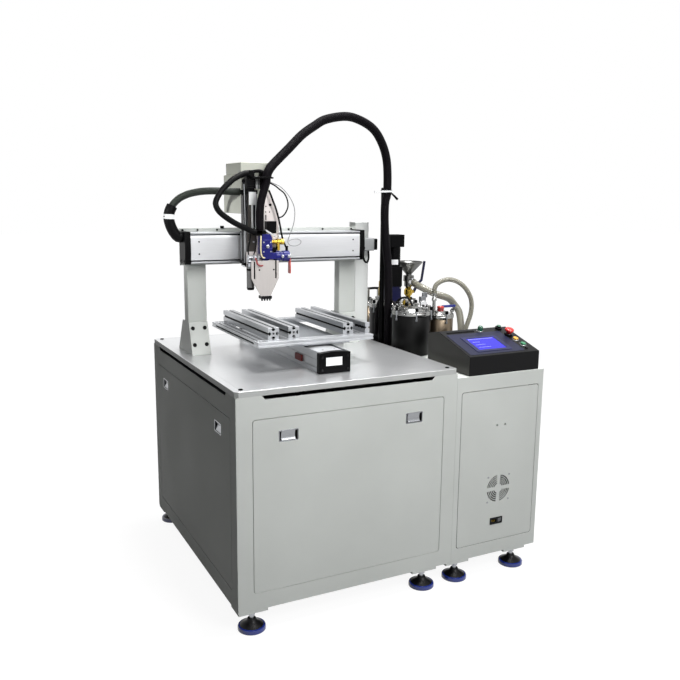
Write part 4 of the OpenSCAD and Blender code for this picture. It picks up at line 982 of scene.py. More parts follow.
@dataclass
class Worktop(Assembly):
    """The ground base plate and the gantry that stands on it."""

    top: float = PLATE_TOP
    boot_height: float = 131
    boot_lean: float = 46

    def build(self) -> None:
        """Makes the base plate with its ground rim, and the gantry."""
        plate = Piece("base_plate")
        w, d, cut = 894, 1096, 12
        outline = [
            (cut, 0), (w - cut, 0), (w, cut), (w, d - cut), (w - cut, d), (cut, d), (0, d - cut), (0, cut)
        ]
        holes = [circle(x, y, 5.25) for x in (30, w - 30) for y in (30, d - 30)]
        inner = [(x + (1 if x < w / 2 else -1), y + (1 if y < d / 2 else -1)) for x, y in outline]
        plate.prism(Z, inner, PLATE_LOW, self.top, holes)
        self.add(plate, PLATE, 0.9, "base_plate")
        self.add(Piece("plate_rim").prism(Z, outline, PLATE_LOW, self.top - 0.8, [inner]), RIM_GREY, 0)
        self._gantry()

    def _gantry(self) -> None:
        """Makes the posts on their boots, the back plate, the bolts and the duct."""
        frame, bolts = Piece("gantry"), Piece("boot_bolts")
        z = self.top
        for x in (47, 736):
            frame.prism(Z, rounded(80, 50, 5, (x, 697)), z + 130, z + 496)
            side = [(645, z), (845, z), (778, z + self.boot_height), (691, z + self.boot_height)]
            frame.prism(X, side, x, x + 80)
            for dx, up in product((-25, 25), (41, 106)):
                slope = Vector((0, -self.boot_height, self.boot_lean)).normalized()
                at = Vector((x + 40 + dx, 645 + self.boot_lean * up / self.boot_height, z + up))
                bolts.cylinder(at - slope * 3, at + slope * 0.4, 8.5, sides=24)
                bolts.screw(at + slope * 0.4, slope, 6.5, 4)
        frame.block((18, 692, z + 363), (815, 697, z + 511))
        for x, y in product((30, 864), (30, 1066)):
            bolts.screw((x, y, z), UP, 8, 3)
        self.add(frame, GANTRY_SHADED, 1.5, "gantry")
        self.add(bolts, BLACK, 0.4)
        back = Piece("plate_screws")
        for x in (32, 93, 174, 330, 490, 650, 790):
            back.cylinder((x, 688, z + 503), (x, 692, z + 503), 4, sides=16)
        back.cylinder((197, 694.5, z + 508), (197, 694.5, z + 519), 8, sides=24)
        self.add(back, BLACK, 0.3)
        self.add(Piece("cable_duct").prism(Z, rounded(68, 60, 3, (818, 702)), z, z + 531), DUCT, 1)


@dataclass
class LongDrive(Assembly):
    """A covered screw drive: length along its own X, cover on top."""

    name: str = ""
    node: str = ""
    place: Matrix = HERE
    length: float = 800
    metal: Finish = SILVER
    screw_body: Body = Body.X_SCREW
    width: float = 120
    height: float = 79
    cap: float = 24
    screw_z: float = 35.55
    pitch: float = 20
    arched: bool = False

    def build(self) -> None:
        """Makes the channel, the cover, the ends, the motor and the screw."""
        half, n = self.width / 2, self.length
        body = Piece(self.node, self.place)
        slots = [
            (half, 18), (half - 2, 18), (half - 2, 26), (half, 26), (half, 48), (half - 2, 48),
            (half - 2, 56), (half, 56)
        ]
        right = [(half, 0), *slots, (half, self.height), (half - 6, self.height), (half - 6, 12)]
        section = [*right, *[(-u, v) for u, v in reversed(right)]]
        body.prism(X, section, 0, n)
        for s in (-1, 1):
            body.block((0, s * 34 - 5, 12), (n, s * 34 + 5, 22))
        self.add(body, self.metal, 0.6, self.node)
        # Thin near-black strips in the channel's side slots: painted shade.
        shade_strips = Piece(self.name + "_dark_slots", self.place)
        for s, v in product((-1, 1), (18.2, 48.2)):
            shade_strips.block((1, s * (half - 2.6) - 0.5, v), (n - 1, s * (half - 2.6) + 0.5, v + 7.6))
        self.add(shade_strips, SLOT_SHADE, 0)
        cover = Piece(self.name + "_cover", self.place)
        crown = [
            (48 * (1 - i / 8), 76 + (3 if self.arched else 2.8) * math.sin(math.pi * i / 16) ** 0.5)
            for i in range(1, 16)
        ]
        outline = [(-48, 71), (48, 71), (48, 76), *crown, (-48, 76)]
        cover.prism(X, outline, 0, n)
        self.add(cover, COVER, 0.4)
        self._ends()
        self._motor()
        screw = Piece(self.screw_body.value, self.place)
        path = [Vector((x, 0, self.screw_z)) for x in (-21, n + self.cap + 25)]
        screw.cylinder(path[0], path[1], 7.2)
        screw.tube(helix(10, self.pitch, 6.9, self.screw_z, int((n - self.pitch) / self.pitch), 16), 1.1, 6)
        self.add(screw, STEEL, 0, self.screw_body.value, body=self.screw_body)

    def _ends(self) -> None:
        """Makes the end caps with their bolts."""
        half = self.width / 2 + 4
        ends, bolts = Piece(self.name + "_ends", self.place), Piece(self.name + "_end_bolts", self.place)
        arch = [(half - i * half / 8, 76 + 5 * math.sin(math.radians(i * 11.25))) for i in range(17)]
        for x0, x1, out in ((-self.cap, 0, -1), (self.length, self.length + self.cap, 1)):
            ends.prism(X, [(-half, 0), (half, 0), *arch], x0, x1)
            face = x0 if out < 0 else x1
            for y, z in product((-half + 12, half - 12), (14, 62)):
                bolts.screw((face, y, z), Vector((out, 0, 0)), 4.5, 2.5)
        self.add(ends, BLACK, 1.6, "module_ends")
        self.add(bolts, BLACK_GLOSS, 0.3)
        studs = Piece(self.name + "_cover_screws", self.place)
        for x, y in product((33, self.length - 33), (-24, 24)):
            studs.screw((x, y, 78.2), UP, 3.4, 0.7)
        self.add(studs, BLACK, 0.2)

    def _motor(self) -> None:
        """Makes the motor at the far end."""
        x, z, h = self.length + self.cap, self.screw_z, 27.5
        self.add(
            Piece(self.name + "_motor", self.place).prism(
                X, rounded(2 * h, 2 * h, 4, (-h, z - h)), x + 7, x + 57
            ),
            MOTOR, 1, "drive_motors"
        )
        black = Piece(self.name + "_motor_ends", self.place)
        black.prism(X, rounded(2 * h + 4, 2 * h + 4, 4, (-h - 2, z - h - 2)), x, x + 7)
        black.prism(X, rounded(2 * h - 6, 2 * h - 6, 4, (-h + 3, z - h + 3)), x + 57, x + 75)
        black.block((x + 60, -12, z - h - 2), (x + 74, 12, z - h + 4))
        self.add(black, BLACK, 1)


@dataclass
class Table(Assembly):
    """The sliding table: carriage, frame and slotted bars."""

    BODY: ClassVar[Body] = Body.Y_AXIS
    BARS: ClassVar[Outline] = ((232, 512), (315, 512), (547, 462))

    front_rail: float = 482
    bar: float = 45
    bar_y: float = 288
    bar_z: float = 905

    def build(self) -> None:
        """Makes the carriage, the frame, the bars and the drive's small parts."""
        carriage_from_drive(
            "y_carriage", TABLE_PLACE, 291, 150, (108, 516), 4, 8, 260, Body.Y_AXIS, GREY_PLATE, self.paint
        )
        self._frame()
        self._bars()
        self.add(
            Piece("drive_blank_plate").block((396, 127.2, 823), (462, 128, 854)), LABEL, 0.2,
            body=Body.MACHINE
        )
        self.add(
            Piece("drive_sensor").block((366, 285, 813), (373, 345, 838)), SENSOR_RED, 1, body=Body.MACHINE
        )

    def _frame(self) -> None:
        """Makes the four slotted rails."""
        x0, y0, z, w, d, r, t = 178, 246, 885, 482, 544, 48, 20
        rails = Piece("table_frame")
        rims = (
            (shift(x0, y0, z), w),
            (shift(x0 + w, y0 + d, z) @ turn(180, Z), w),
            (shift(x0, y0 + d - r, z) @ turn(-90, Z), d - 2 * r),
            (shift(x0 + w, y0 + r, z) @ turn(90, Z), d - 2 * r),
        )
        # Near-black strips in the rails' top slots, and along the outer side slot of the short rails:
        # painted shade.
        dark = Piece("table_frame_slots")
        for place, length in rims:
            rails.place = dark.place = place
            section = [(0, 0), (r, 0), (r, t)]
            for y in (r * 3 / 4, r / 4):
                section += [(y + 3, t), (y + 3, t - 5), (y - 3, t - 5), (y - 3, t)]
            section += [(0, t), (0, 13), (4, 13), (4, 7), (0, 7)]
            rails.prism(X, section, 0, length)
            for y in (r * 3 / 4, r / 4):
                dark.block((1, y - 3, t - 6), (length - 1, y + 3, t - 4.5))
            if length < self.front_rail:
                dark.block((1, 3.4, 7), (length - 1, 4.4, 13))
        self.add(rails, SILVER, 0.7, "table_frame")
        self.add(dark, SLOT_SHADE, 0)

    def _section(self) -> list[tuple[float, float]]:
        """Outline of a bar with a slot in each side.

        Returns:
            The outline's points.
        """
        half, slot, mouth, deep, lip = self.bar / 2, 8.2, 4.1, 12.0, 5.0
        rise = [(half, mouth), (half - lip, mouth), (half - lip, slot), (half - deep, slot / 2.2)]
        side = [(half, -half), *[(u, -v) for u, v in rise], *reversed(rise)]
        top = [(half, half), *[(v, u) for u, v in rise], *[(-v, u) for u, v in reversed(rise)]]
        return side + top + [(-u, -v) for u, v in side + top]

    def _dark_slots(self, piece: Piece, x: float, length: float) -> None:
        """Fills the four slots of a bar with black wedges: painted shade inside the slots.

        Args:
            piece: What it is added to.
            x: The bar's left side.
            length: The bar's length.
        """
        half = self.bar / 2
        piece.place = shift(x + half, self.bar_y, self.bar_z + half)
        wedge = [(half - 5.2, -8), (half - 5.2, 8), (half - 11.8, 3.5), (half - 11.8, -3.5)]
        for flip in (lambda u, v: (u, v), lambda u, v: (-u, v), lambda u, v: (v, u), lambda u, v: (v, -u)):
            piece.prism(Y, [flip(u, v) for u, v in wedge], 0.3, length - 0.3)
        piece.place = HERE

    def _bars(self) -> None:
        """Makes the bars that lie across the frame, their fittings, and the painted shade in their slots.
        """
        bars, fittings_and_shade = Piece("table_bars"), Piece("bar_fittings")
        half = self.bar / 2
        for x, length in self.BARS:
            bars.place = shift(x + half, self.bar_y, self.bar_z + half)
            bars.prism(Y, self._section(), 0, length, [circle(0, 0, 4, 16)])
        bars.place = shift(655, self.bar_y, self.bar_z + 20)
        slot = [(10, -20), (10, -4), (5, -4), (5, 4), (10, 4), (10, 20)]
        bars.prism(Y, slot + [(-u, -v) for u, v in slot], 0, 512)
        self.add(bars, SILVER_Y, 0.7, "table_bars")
        fittings_and_shade.block((646, 300, 916), (664, 372, 934))
        for y in (310, 335, 360):
            fittings_and_shade.cylinder((640, y, 925), (646, y, 925), 5, sides=18)
            fittings_and_shade.cylinder((655, y, 934), (655, y, 944), 5, sides=18)
        fittings_and_shade.block((550, 738, 912), (588, 746, 944))
        # Black wedges in the bars' slots: painted shade.
        for x, length in self.BARS:
            self._dark_slots(fittings_and_shade, x, length)
        self.add(fittings_and_shade, BLACK, 0.6)


def carriage_from_drive(
    name: str, place: Matrix, start: float, length: float, plate: tuple[float, float], gap: float,
    thick: float, width: float, body: Body, finish: Finish, paint: Paint
) -> None:
    """Makes the carriage of a long drive: nut block, two arms and the plate over the cover.

    Args:
        name: The CAD node that it stands for.
        place: The drive's place.
        start: Where the nut block starts along the drive.
        length: The nut block's length.
        plate: Where the plate starts, and its length.
        gap: Space between the cover and the plate.
        thick: The plate's thickness.
        width: The plate's width across the drive.
        body: The body that it moves with.
        finish: The plate's look.
        paint: The maker of materials.
    """
    block, level = Piece(name, place), LongDrive.height + gap
    block.prism(
        X,
        [(-44, 22.5), (44, 22.5), (44, 56), (53, 56), (53, 85), (49, 85), (49, 68), (-49, 68), (-49, 85),
         (-53, 85), (-53, 56), (-44, 56)],
        start, start + length, [circle(0, LongDrive.screw_z, 8.5, 32)]
    )
    block.prism(Z, rounded(plate[1], width, 3, (plate[0], -width / 2)), level, level + thick)
    block.build(finish, body, paint, 0.8, [name])


@dataclass
class HeadDrive(Assembly):
    """The upright drive with its carriage, motor, hose bracket and the box behind it."""

    BODY: ClassVar[Body] = Body.X_AXIS

    place: Matrix = shift(262, 568, 1160) @ turn(90, Z) @ turn(-90, Y)
    length: float = 296
    half: float = 28
    depth: float = 33
    cap: float = 14
    screw_z: float = 15

    def build(self) -> None:
        """Makes the carriage on the beam and all that it bears."""
        carriage_from_drive(
            "x_carriage", BEAM_PLACE, 202, 74, (200, 92), 5, 12, 128, Body.X_AXIS, BLACK, self.paint
        )
        self.add(Piece("drive_riser").block((240, 568, 1180), (300, 596, 1290)), SILVER_Z, 0.8)
        self._column()
        self._top()
        self._box()
        self._carriage()

    def _column(self) -> None:
        """Makes the upright channel with its cover, caps and screw."""
        n, half, cap, deep = self.length, self.half, self.cap, self.depth
        channel = Piece("z_module", self.place)
        section = [
            (-half, 0), (half, 0), (half, deep), (half - 9, deep), (half - 9, 4), (-half + 9, 4),
            (-half + 9, deep), (-half, deep)
        ]
        channel.prism(X, section, cap, n - cap)
        self.add(channel, SILVER_Z, 0.7, "z_module")
        edges = Piece("z_edges", self.place)
        edges.block((cap, half - 0.1, 1), (n - cap, half + 0.4, deep - 4))
        edges.block((155, half - 9, deep - 0.1), (n - cap, half, deep + 0.4))
        for s in (-1, 1):
            wall = sorted((s * (half - 9.3), s * (half - 10)))
            edges.block((cap, wall[0], 5), (n - cap, wall[1], deep - 0.5))
        self.add(edges, BLACK_GLOSS, 0)
        self.add(Piece("z_cover", self.place).block((cap, -10, deep - 4), (n - cap, -2, deep)), LABEL, 0.4)
        self.add(
            Piece("z_cover_strip", self.place).block((cap, -2, deep - 4), (n - cap, 11, deep - 0.6)),
            DARK_PLATE, 0.3
        )
        caps = Piece("z_caps", self.place)
        for x in (0, n - cap):
            caps.prism(
                X, rounded(2 * half + 4, deep + 1, 3, (-half - 2, 0)), x, x + cap,
                [circle(0, self.screw_z, 4.05, 24)]
            )
        self.add(caps, BLACK, 1.2)
        self.add(
            Piece("z_foot", self.place).prism(X, rounded(12, 26, 4, (half - 9, 8)), -4, 3), CHROME, 0.6
        )
        self.add(
            Piece("z_blank_plates", self.place).block((n - 57, -22, deep + 1), (n - 7, 8, deep + 1.6)),
            LABEL, 0.2
        )
        screw = Piece("z_screw", self.place)
        screw.cylinder((2, 0, self.screw_z), (n - 2, 0, self.screw_z), 3.4)
        screw.tube(helix(16, 8, 3.3, self.screw_z, 32, 12), 0.6, 6)
        self.add(screw, STEEL, 0, "z_screw", body=Body.Z_SCREW)

    def _top(self) -> None:
        """Makes the motor, the rod beside it with a light strip of painted highlight, and the hose bracket.
        """
        black = Piece("z_motor")
        black.prism(Z, rounded(33, 36, 3, (245.5, 532)), 1456, 1521)
        black.tube([(234.5, 538, 1490), (236, 538, 1430), (237.5, 538, 1370), (239, 538, 1315)], 4.4, 20)
        black.revolve((234.5, 538, 1484), [(0, 0), (5, 1), (7, 5), (7, 9), (5, 13), (0, 14)], 24)
        black.prism(Z, rounded(75, 62, 5, (262, 478)), 1500, 1506)
        black.prism(Z, rounded(17, 40, 3, (245, 500)), 1509, 1531)
        black.prism(Z, rounded(22, 27, 3, (301, 523)), 1461, 1527)
        self.add(black, BLACK, 1)
        # A thin light tube along the front of the black rod: painted highlight.
        self.add(
            Piece("z_rod_core").tube(
                [(234.5, 533.2, 1478), (236, 533.2, 1430), (237.5, 533.2, 1370), (238.6, 533.2, 1322)], 1.4,
                10
            ),
            SILVER_Z, 0
        )
        rib = Piece("z_motor_ribs")
        for z in range(1464, 1500, 7):
            rib.block((246.5, 531.2, z), (277.5, 532.4, z + 3))
        self.add(rib, BLACK_GLOSS, 0.3)
        plates = Piece("z_motor_plates")
        for x0, x1 in ((285, 296), (299, 305)):
            plates.block((x0, 538, 1462), (x1, 566, 1509))
        self.add(plates, LABEL, 0.5)
        self.add(Piece("z_motor_bracket").block((279, 541, 1463), (306, 566, 1510)), BLACK, 0.5)

    def _box(self) -> None:
        """Makes the box behind the drive."""
        box = Piece("z_box")
        box.block((237, 572, 1364), (356, 784, 1517))
        box.block((237, 568, 1364), (290, 572.5, 1452))
        self.add(box, BOX_PAINT, 2, "z_box")
        self.add(Piece("z_box_hood").block((236, 571, 1517), (357, 750, 1563)), BOX_PAINT, 2.5)
        bolts = Piece("z_box_screws")
        for y in (590, 740):
            bolts.screw((236, y, 1528), LEFT, 3, 1.5)
        for x, z in product((262, 331), (1384, 1500)):
            bolts.screw((x, 784, z), BACK, 3, 1.5)
        self.add(bolts, ZINC, 0.2)

    def _carriage(self) -> None:
        """Makes the carriage that the head hangs on."""
        block = Piece("z_carriage", self.place)
        block.prism(
            X,
            [(-18, 4.5), (18, 4.5), (18, 35.5), (12, 35.5), (12, 26), (-12, 26), (-12, 35.5), (-18, 35.5)],
            90, 140, [circle(0, self.screw_z, 4.5, 24)]
        )
        block.prism(Z, rounded(120, 46, 2, (20, -28)), 35, 47)
        self.add(block, DARK_PLATE, 1, "z_carriage", body=Body.Z_AXIS)
        bolts = Piece("z_carriage_bolts", self.place)
        for x, y in product((96, 132), (-5, 13)):
            bolts.screw((x, y, 47), UP, 3.4, 2.6)
        self.add(bolts, ZINC, 0.3, body=Body.Z_AXIS)


@dataclass
class Head(Assembly):
    """The mixing valve and what is round it on the head plate."""

    BODY: ClassVar[Body] = Body.Z_AXIS

    tool: Matrix = shift(266, 515, PLATE_TOP)
    axis_y: float = -22
    plate_thick: float = 6
    guard_thick: float = 4
    standoff: float = 54

    def build(self) -> None:
        """Makes the plates, the cylinder, the valve and the nozzle."""
        self._plates()
        self._pneumatics()
        self._valve()
        self._nozzle()

    def _plates(self) -> None:
        """Makes the head plate, the guard and its stand-offs."""
        plate = Piece("head_plate", self.tool)
        small = ((52, 600), (51, 578), (67, 578))
        holes = [circle(x, z, 2.75, 16) for x, z in small]
        holes += [circle(69, 606, 4, 20), rounded(5, 21, 2, (49, 546), 3)]
        outline = [
            (-30, 342), (86, 342), (106, 400), (106, 574), (71, 654), (45, 654), (45, 508), (12, 508),
            (12, 424), (-30, 424)
        ]
        plate.prism(Y, outline, 0, self.plate_thick, holes)
        self.add(plate, HEAD_PLATE, 0.6, "head_plate")
        dark = Piece("head_plate_holes", self.tool)
        # Black discs inside the open holes and the slot: painted shade; the screw and plug at the last hole
        # are real parts.
        for x, z in small:
            dark.cylinder((x, 2.5, z), (x, 3.5, z), 2.7, sides=16)
        dark.block((49.2, 2.5, 546.2), (53.8, 3.5, 566.8))
        dark.screw((69, 0, 606), FRONT, 5.4, 4)
        dark.cylinder((69, -0.2, 606), (69, 5, 606), 3.9, sides=20)
        self.add(dark, BLACK, 0)
        guard = Piece("guard_plate", self.tool)
        left, right, low, top = -33, 82, 322, 392
        outline = [
            (left, 324), (5.5, 254), (46.5, 254), (right, 324), (right, top), (right - 10, top),
            (right - 10, low), (right - 16, low), (right - 16, top), (left + 16, top), (left + 16, low),
            (left + 10, low), (left + 10, top), (left, top)
        ]
        near, far = -self.standoff, -self.standoff - self.guard_thick
        guard.prism(Y, outline, far, near)
        for x in (0, 60):
            guard.cylinder((x, near, 357), (x, 0, 357), 5, sides=24)
        self.add(guard, GUARD, 0.5, "guard_plate")
        bolts = Piece("guard_screws", self.tool)
        for x in (0, 60):
            bolts.screw((x, far, 357), FRONT, 3.4, 1.6)
        # Black strips just behind the guard's two slots: painted shade.
        for x in (left + 8.5, right - 17.5):
            bolts.block((x, near, low - 2), (x + 9, near + 1, top - 1))
        self.add(bolts, BLACK, 0.2)
        edge = Piece("plate_edge", self.tool)
        edge.prism(Y, [(36, 505), (80, 480), (83, 486), (39, 512)], -31, -26)
        edge.block((56, -27, 492), (62, -23, 500))
        self.add(edge, CHROME, 0.8)

    def _pneumatics(self) -> None:
        """Makes the metering cylinder, the solenoid and the air lines."""
        black = Piece("pneumatics", self.tool)
        black.block((46, -24, 496), (86, 0, 543))
        black.block((-4, -48, 488), (18, 0, 508))
        black.block((-4, -48, 495), (34, 0, 508))
        for z in (506, 520, 534):
            black.cylinder((54, -26, z), (54, -24, z), 4, sides=18)
        self.add(black, SOLENOID, 1.4, "pneumatics")
        tube = Piece("metering_cylinder", self.tool)
        tube.turned((-22, -18, 282), [(15, 0), (15, 80), (13.5, 81.5), (13.5, 84)], 40)
        tube.block((-31, -3.2, 352), (-13, 0, 378))
        self.add(tube, CYLINDER, 0.4)
        ends = Piece("cylinder_ends", self.tool)
        ends.turned((-22, -18, 276), [(12, 0), (13.5, 2), (13.5, 6), (15.2, 6), (15.2, 10)], 40)
        ends.drum((-22, -18, 352), 15.3, 8, 40)
        self.add(ends, BLACK, 0.4)
        nuts = Piece("cylinder_nuts", self.tool)
        nuts.turned((-22, -18, 366), [(10, 0), (10, 18), (6.5, 19), (6.5, 42)], 28)
        for x in (-35, -12, 6):
            nuts.turned((x, -30, 392), [(6.4, 0), (6.4, 9), (4.6, 10), (4.6, 22)], 6)
        for z in (388, 404):
            nuts.turned(
                (-38, -26, z), [(6, 0), (6, 12), (4.2, 13), (4.2, 40), (6, 41), (6, 50)], 24, along=X
            )
        self.add(nuts, ZINC, 0.4)
        lines = Piece("cylinder_lines", self.tool)
        lines.curve(
            [(-34, -30, 414), (-36, -34, 440), (-28, -30, 470), (-20, -14, 492), (-16, 2, 508)], 5, 3, 10
        )
        lines.curve([(-12, -30, 414), (-8, -36, 432), (-3, -34, 460), (-2, -28, 488)], 5, 3, 10)
        self.add(lines, RUBBER, 0)

    def _valve(self) -> None:
        """Makes the mixing valve with its screws and its lever."""
        y, hub_place = self.axis_y, self.tool @ shift(139.3, self.axis_y, 406)
        blue = Piece("valve_body", self.tool)
        blue.prism(Y, [(18, 416), (60, 416), (60, 480), (52, 494), (18, 494)], -44, 0)
        blue.block((26, -42, 396), (80, 0, 422))
        blue.turned(
            (79, y, 406),
            [(21.5, 0), (21.5, 18), (19, 20), (19, 30), (21.5, 32), (21.5, 58), (19, 60), (4.05, 60),
             (4.05, 41)],
            40, along=X
        )
        blue.turned((40, y, 356), [(10, 0), (12, 14), (15, 24), (15, 41)], 36)
        for z in (436, 452, 468):
            blue.block((16.8, -45.2, z), (61.2, 1, z + 4))
        self.add(blue, VALVE, 1.2, "valve_body")
        middle = Piece("valve_middle", self.tool)
        middle.turned((130, y, 421), [(5.5, 0), (5.5, 19), (7, 20), (7, 24), (5.5, 25)], 24)
        middle.block((60, -40, 426), (78, -6, 442))
        self.add(middle, SOLENOID, 1)
        bolts = Piece("valve_screws", self.tool)
        for x, z in product((24, 54), (426, 462)):
            bolts.screw((x, -44, z), FRONT, 3, 2.5)
        bolts.turned((40, -44, 446), [(7, 0), (7, 5), (4, 6), (4, 12)], 6, along=FRONT)
        for x in (104, 131):
            bolts.turned((x, -43.4, 406), [(6.5, 0), (6.5, 3), (5.5, 4)], 6, along=FRONT)
        bolts.drum((48, -40, 388), 6, 5, 6, along=FRONT)
        self.add(bolts, ZINC, 0.2)
        self._fittings()
        self.add(
            Piece("valve_lever", hub_place).prism(
                X, [(-12, -64), (-9, -70), (9, -70), (12, -64), (9, -8), (-9, -8)], 0.6, 5
            ),
            RED_GRIP, 1.4, "valve_lever", body=Body.VALVE_LEVER
        )
        hub = Piece("valve_lever_hub", hub_place)
        hub.cylinder((-12, 0, 0), (1, 0, 0), 3.95, sides=24)
        hub.cylinder((0, 0, 0), (5.5, 0, 0), 11, sides=28)
        hub.screw((5.5, 0, 0), RIGHT, 4, 2)
        self.add(hub, ZINC, 0.5, body=Body.VALVE_LEVER)

    def _fittings(self) -> None:
        """Makes the brass fittings on the valve."""
        y = self.axis_y
        brass = Piece("valve_fittings", self.tool)
        brass.drum((93, y, 429), 9, 16, 6)
        brass.turned((93, y, 444), [(8, 0), (8, 6), (7, 7), (8, 8), (8, 24), (10, 25), (10, 30)], 28)
        brass.turned(
            (60, y, 463),
            [(9, 0), (9, 10), (7.5, 12), (7.5, 20), (9, 22), (9, 44), (12, 44), (12, 56), (7, 56)], 28,
            along=X
        )
        brass.drum((103, y, 463), 12.4, 12, 6, along=X)
        for x in (74, 88):
            brass.turned((x, y - 8, 463), [(5, 0), (5, 9), (3, 10)], 6, along=FRONT)
        self.add(brass, BRASS, 0.5, "valve_fittings")

    def _nozzle(self) -> None:
        """Makes the nozzle with its tips and lines."""
        black = Piece("nozzle", self.tool)
        black.prism(Y, rounded(43, 12, 2, (12.5, 241)), -50, -14)
        black.cylinder((40, -22, 251), (40, -22, 356), 8, sides=28)
        self.add(black, NOZZLE, 0.7, "nozzle")
        tips = Piece("nozzle_tips", self.tool)
        for i in range(4):
            tips.cylinder((17 + 11 * i, -40, 242), (17 + 11 * i, -40, 233), 4.2, 2.8, sides=20)
        self.add(tips, TIP_GREY, 0.5)
        self.add(
            Piece("air_lines", self.tool).curve(
                [(12, -47, 488), (10, -50, 468), (9, -51, 440), (11, -50, 418), (18, -48, 405),
                 (28, -47, 402)],
                4, 2.8, 10
            ),
            CREAM, 0
        )
        self.add(
            Piece("red_line", self.tool).curve(
                [(-11, -44, 402), (-11, -54, 394), (-9, -62, 382), (-3, -66, 375), (4, -66, 373),
                 (12, -62, 374)],
                3, 3.2, 10
            ),
            RED_DARK, 0
        )


@dataclass(frozen=True)
class Pot:
    """Where a pot stands, its size, and the knobs round its lid."""

    x: float
    y: float
    radius: float
    height: float
    knobs: int
    knob: float
    turned: float


BLACK_POTS = (Pot(1027, 715, 108, 190, 6, 9, 10), Pot(992, 495, 85, 186, 6, 10, 12))
STEEL_POTS = (Pot(1164, 530, 62, 156, 4, 7, -5), Pot(1030, 905, 52, 172, 3, 6, 30))


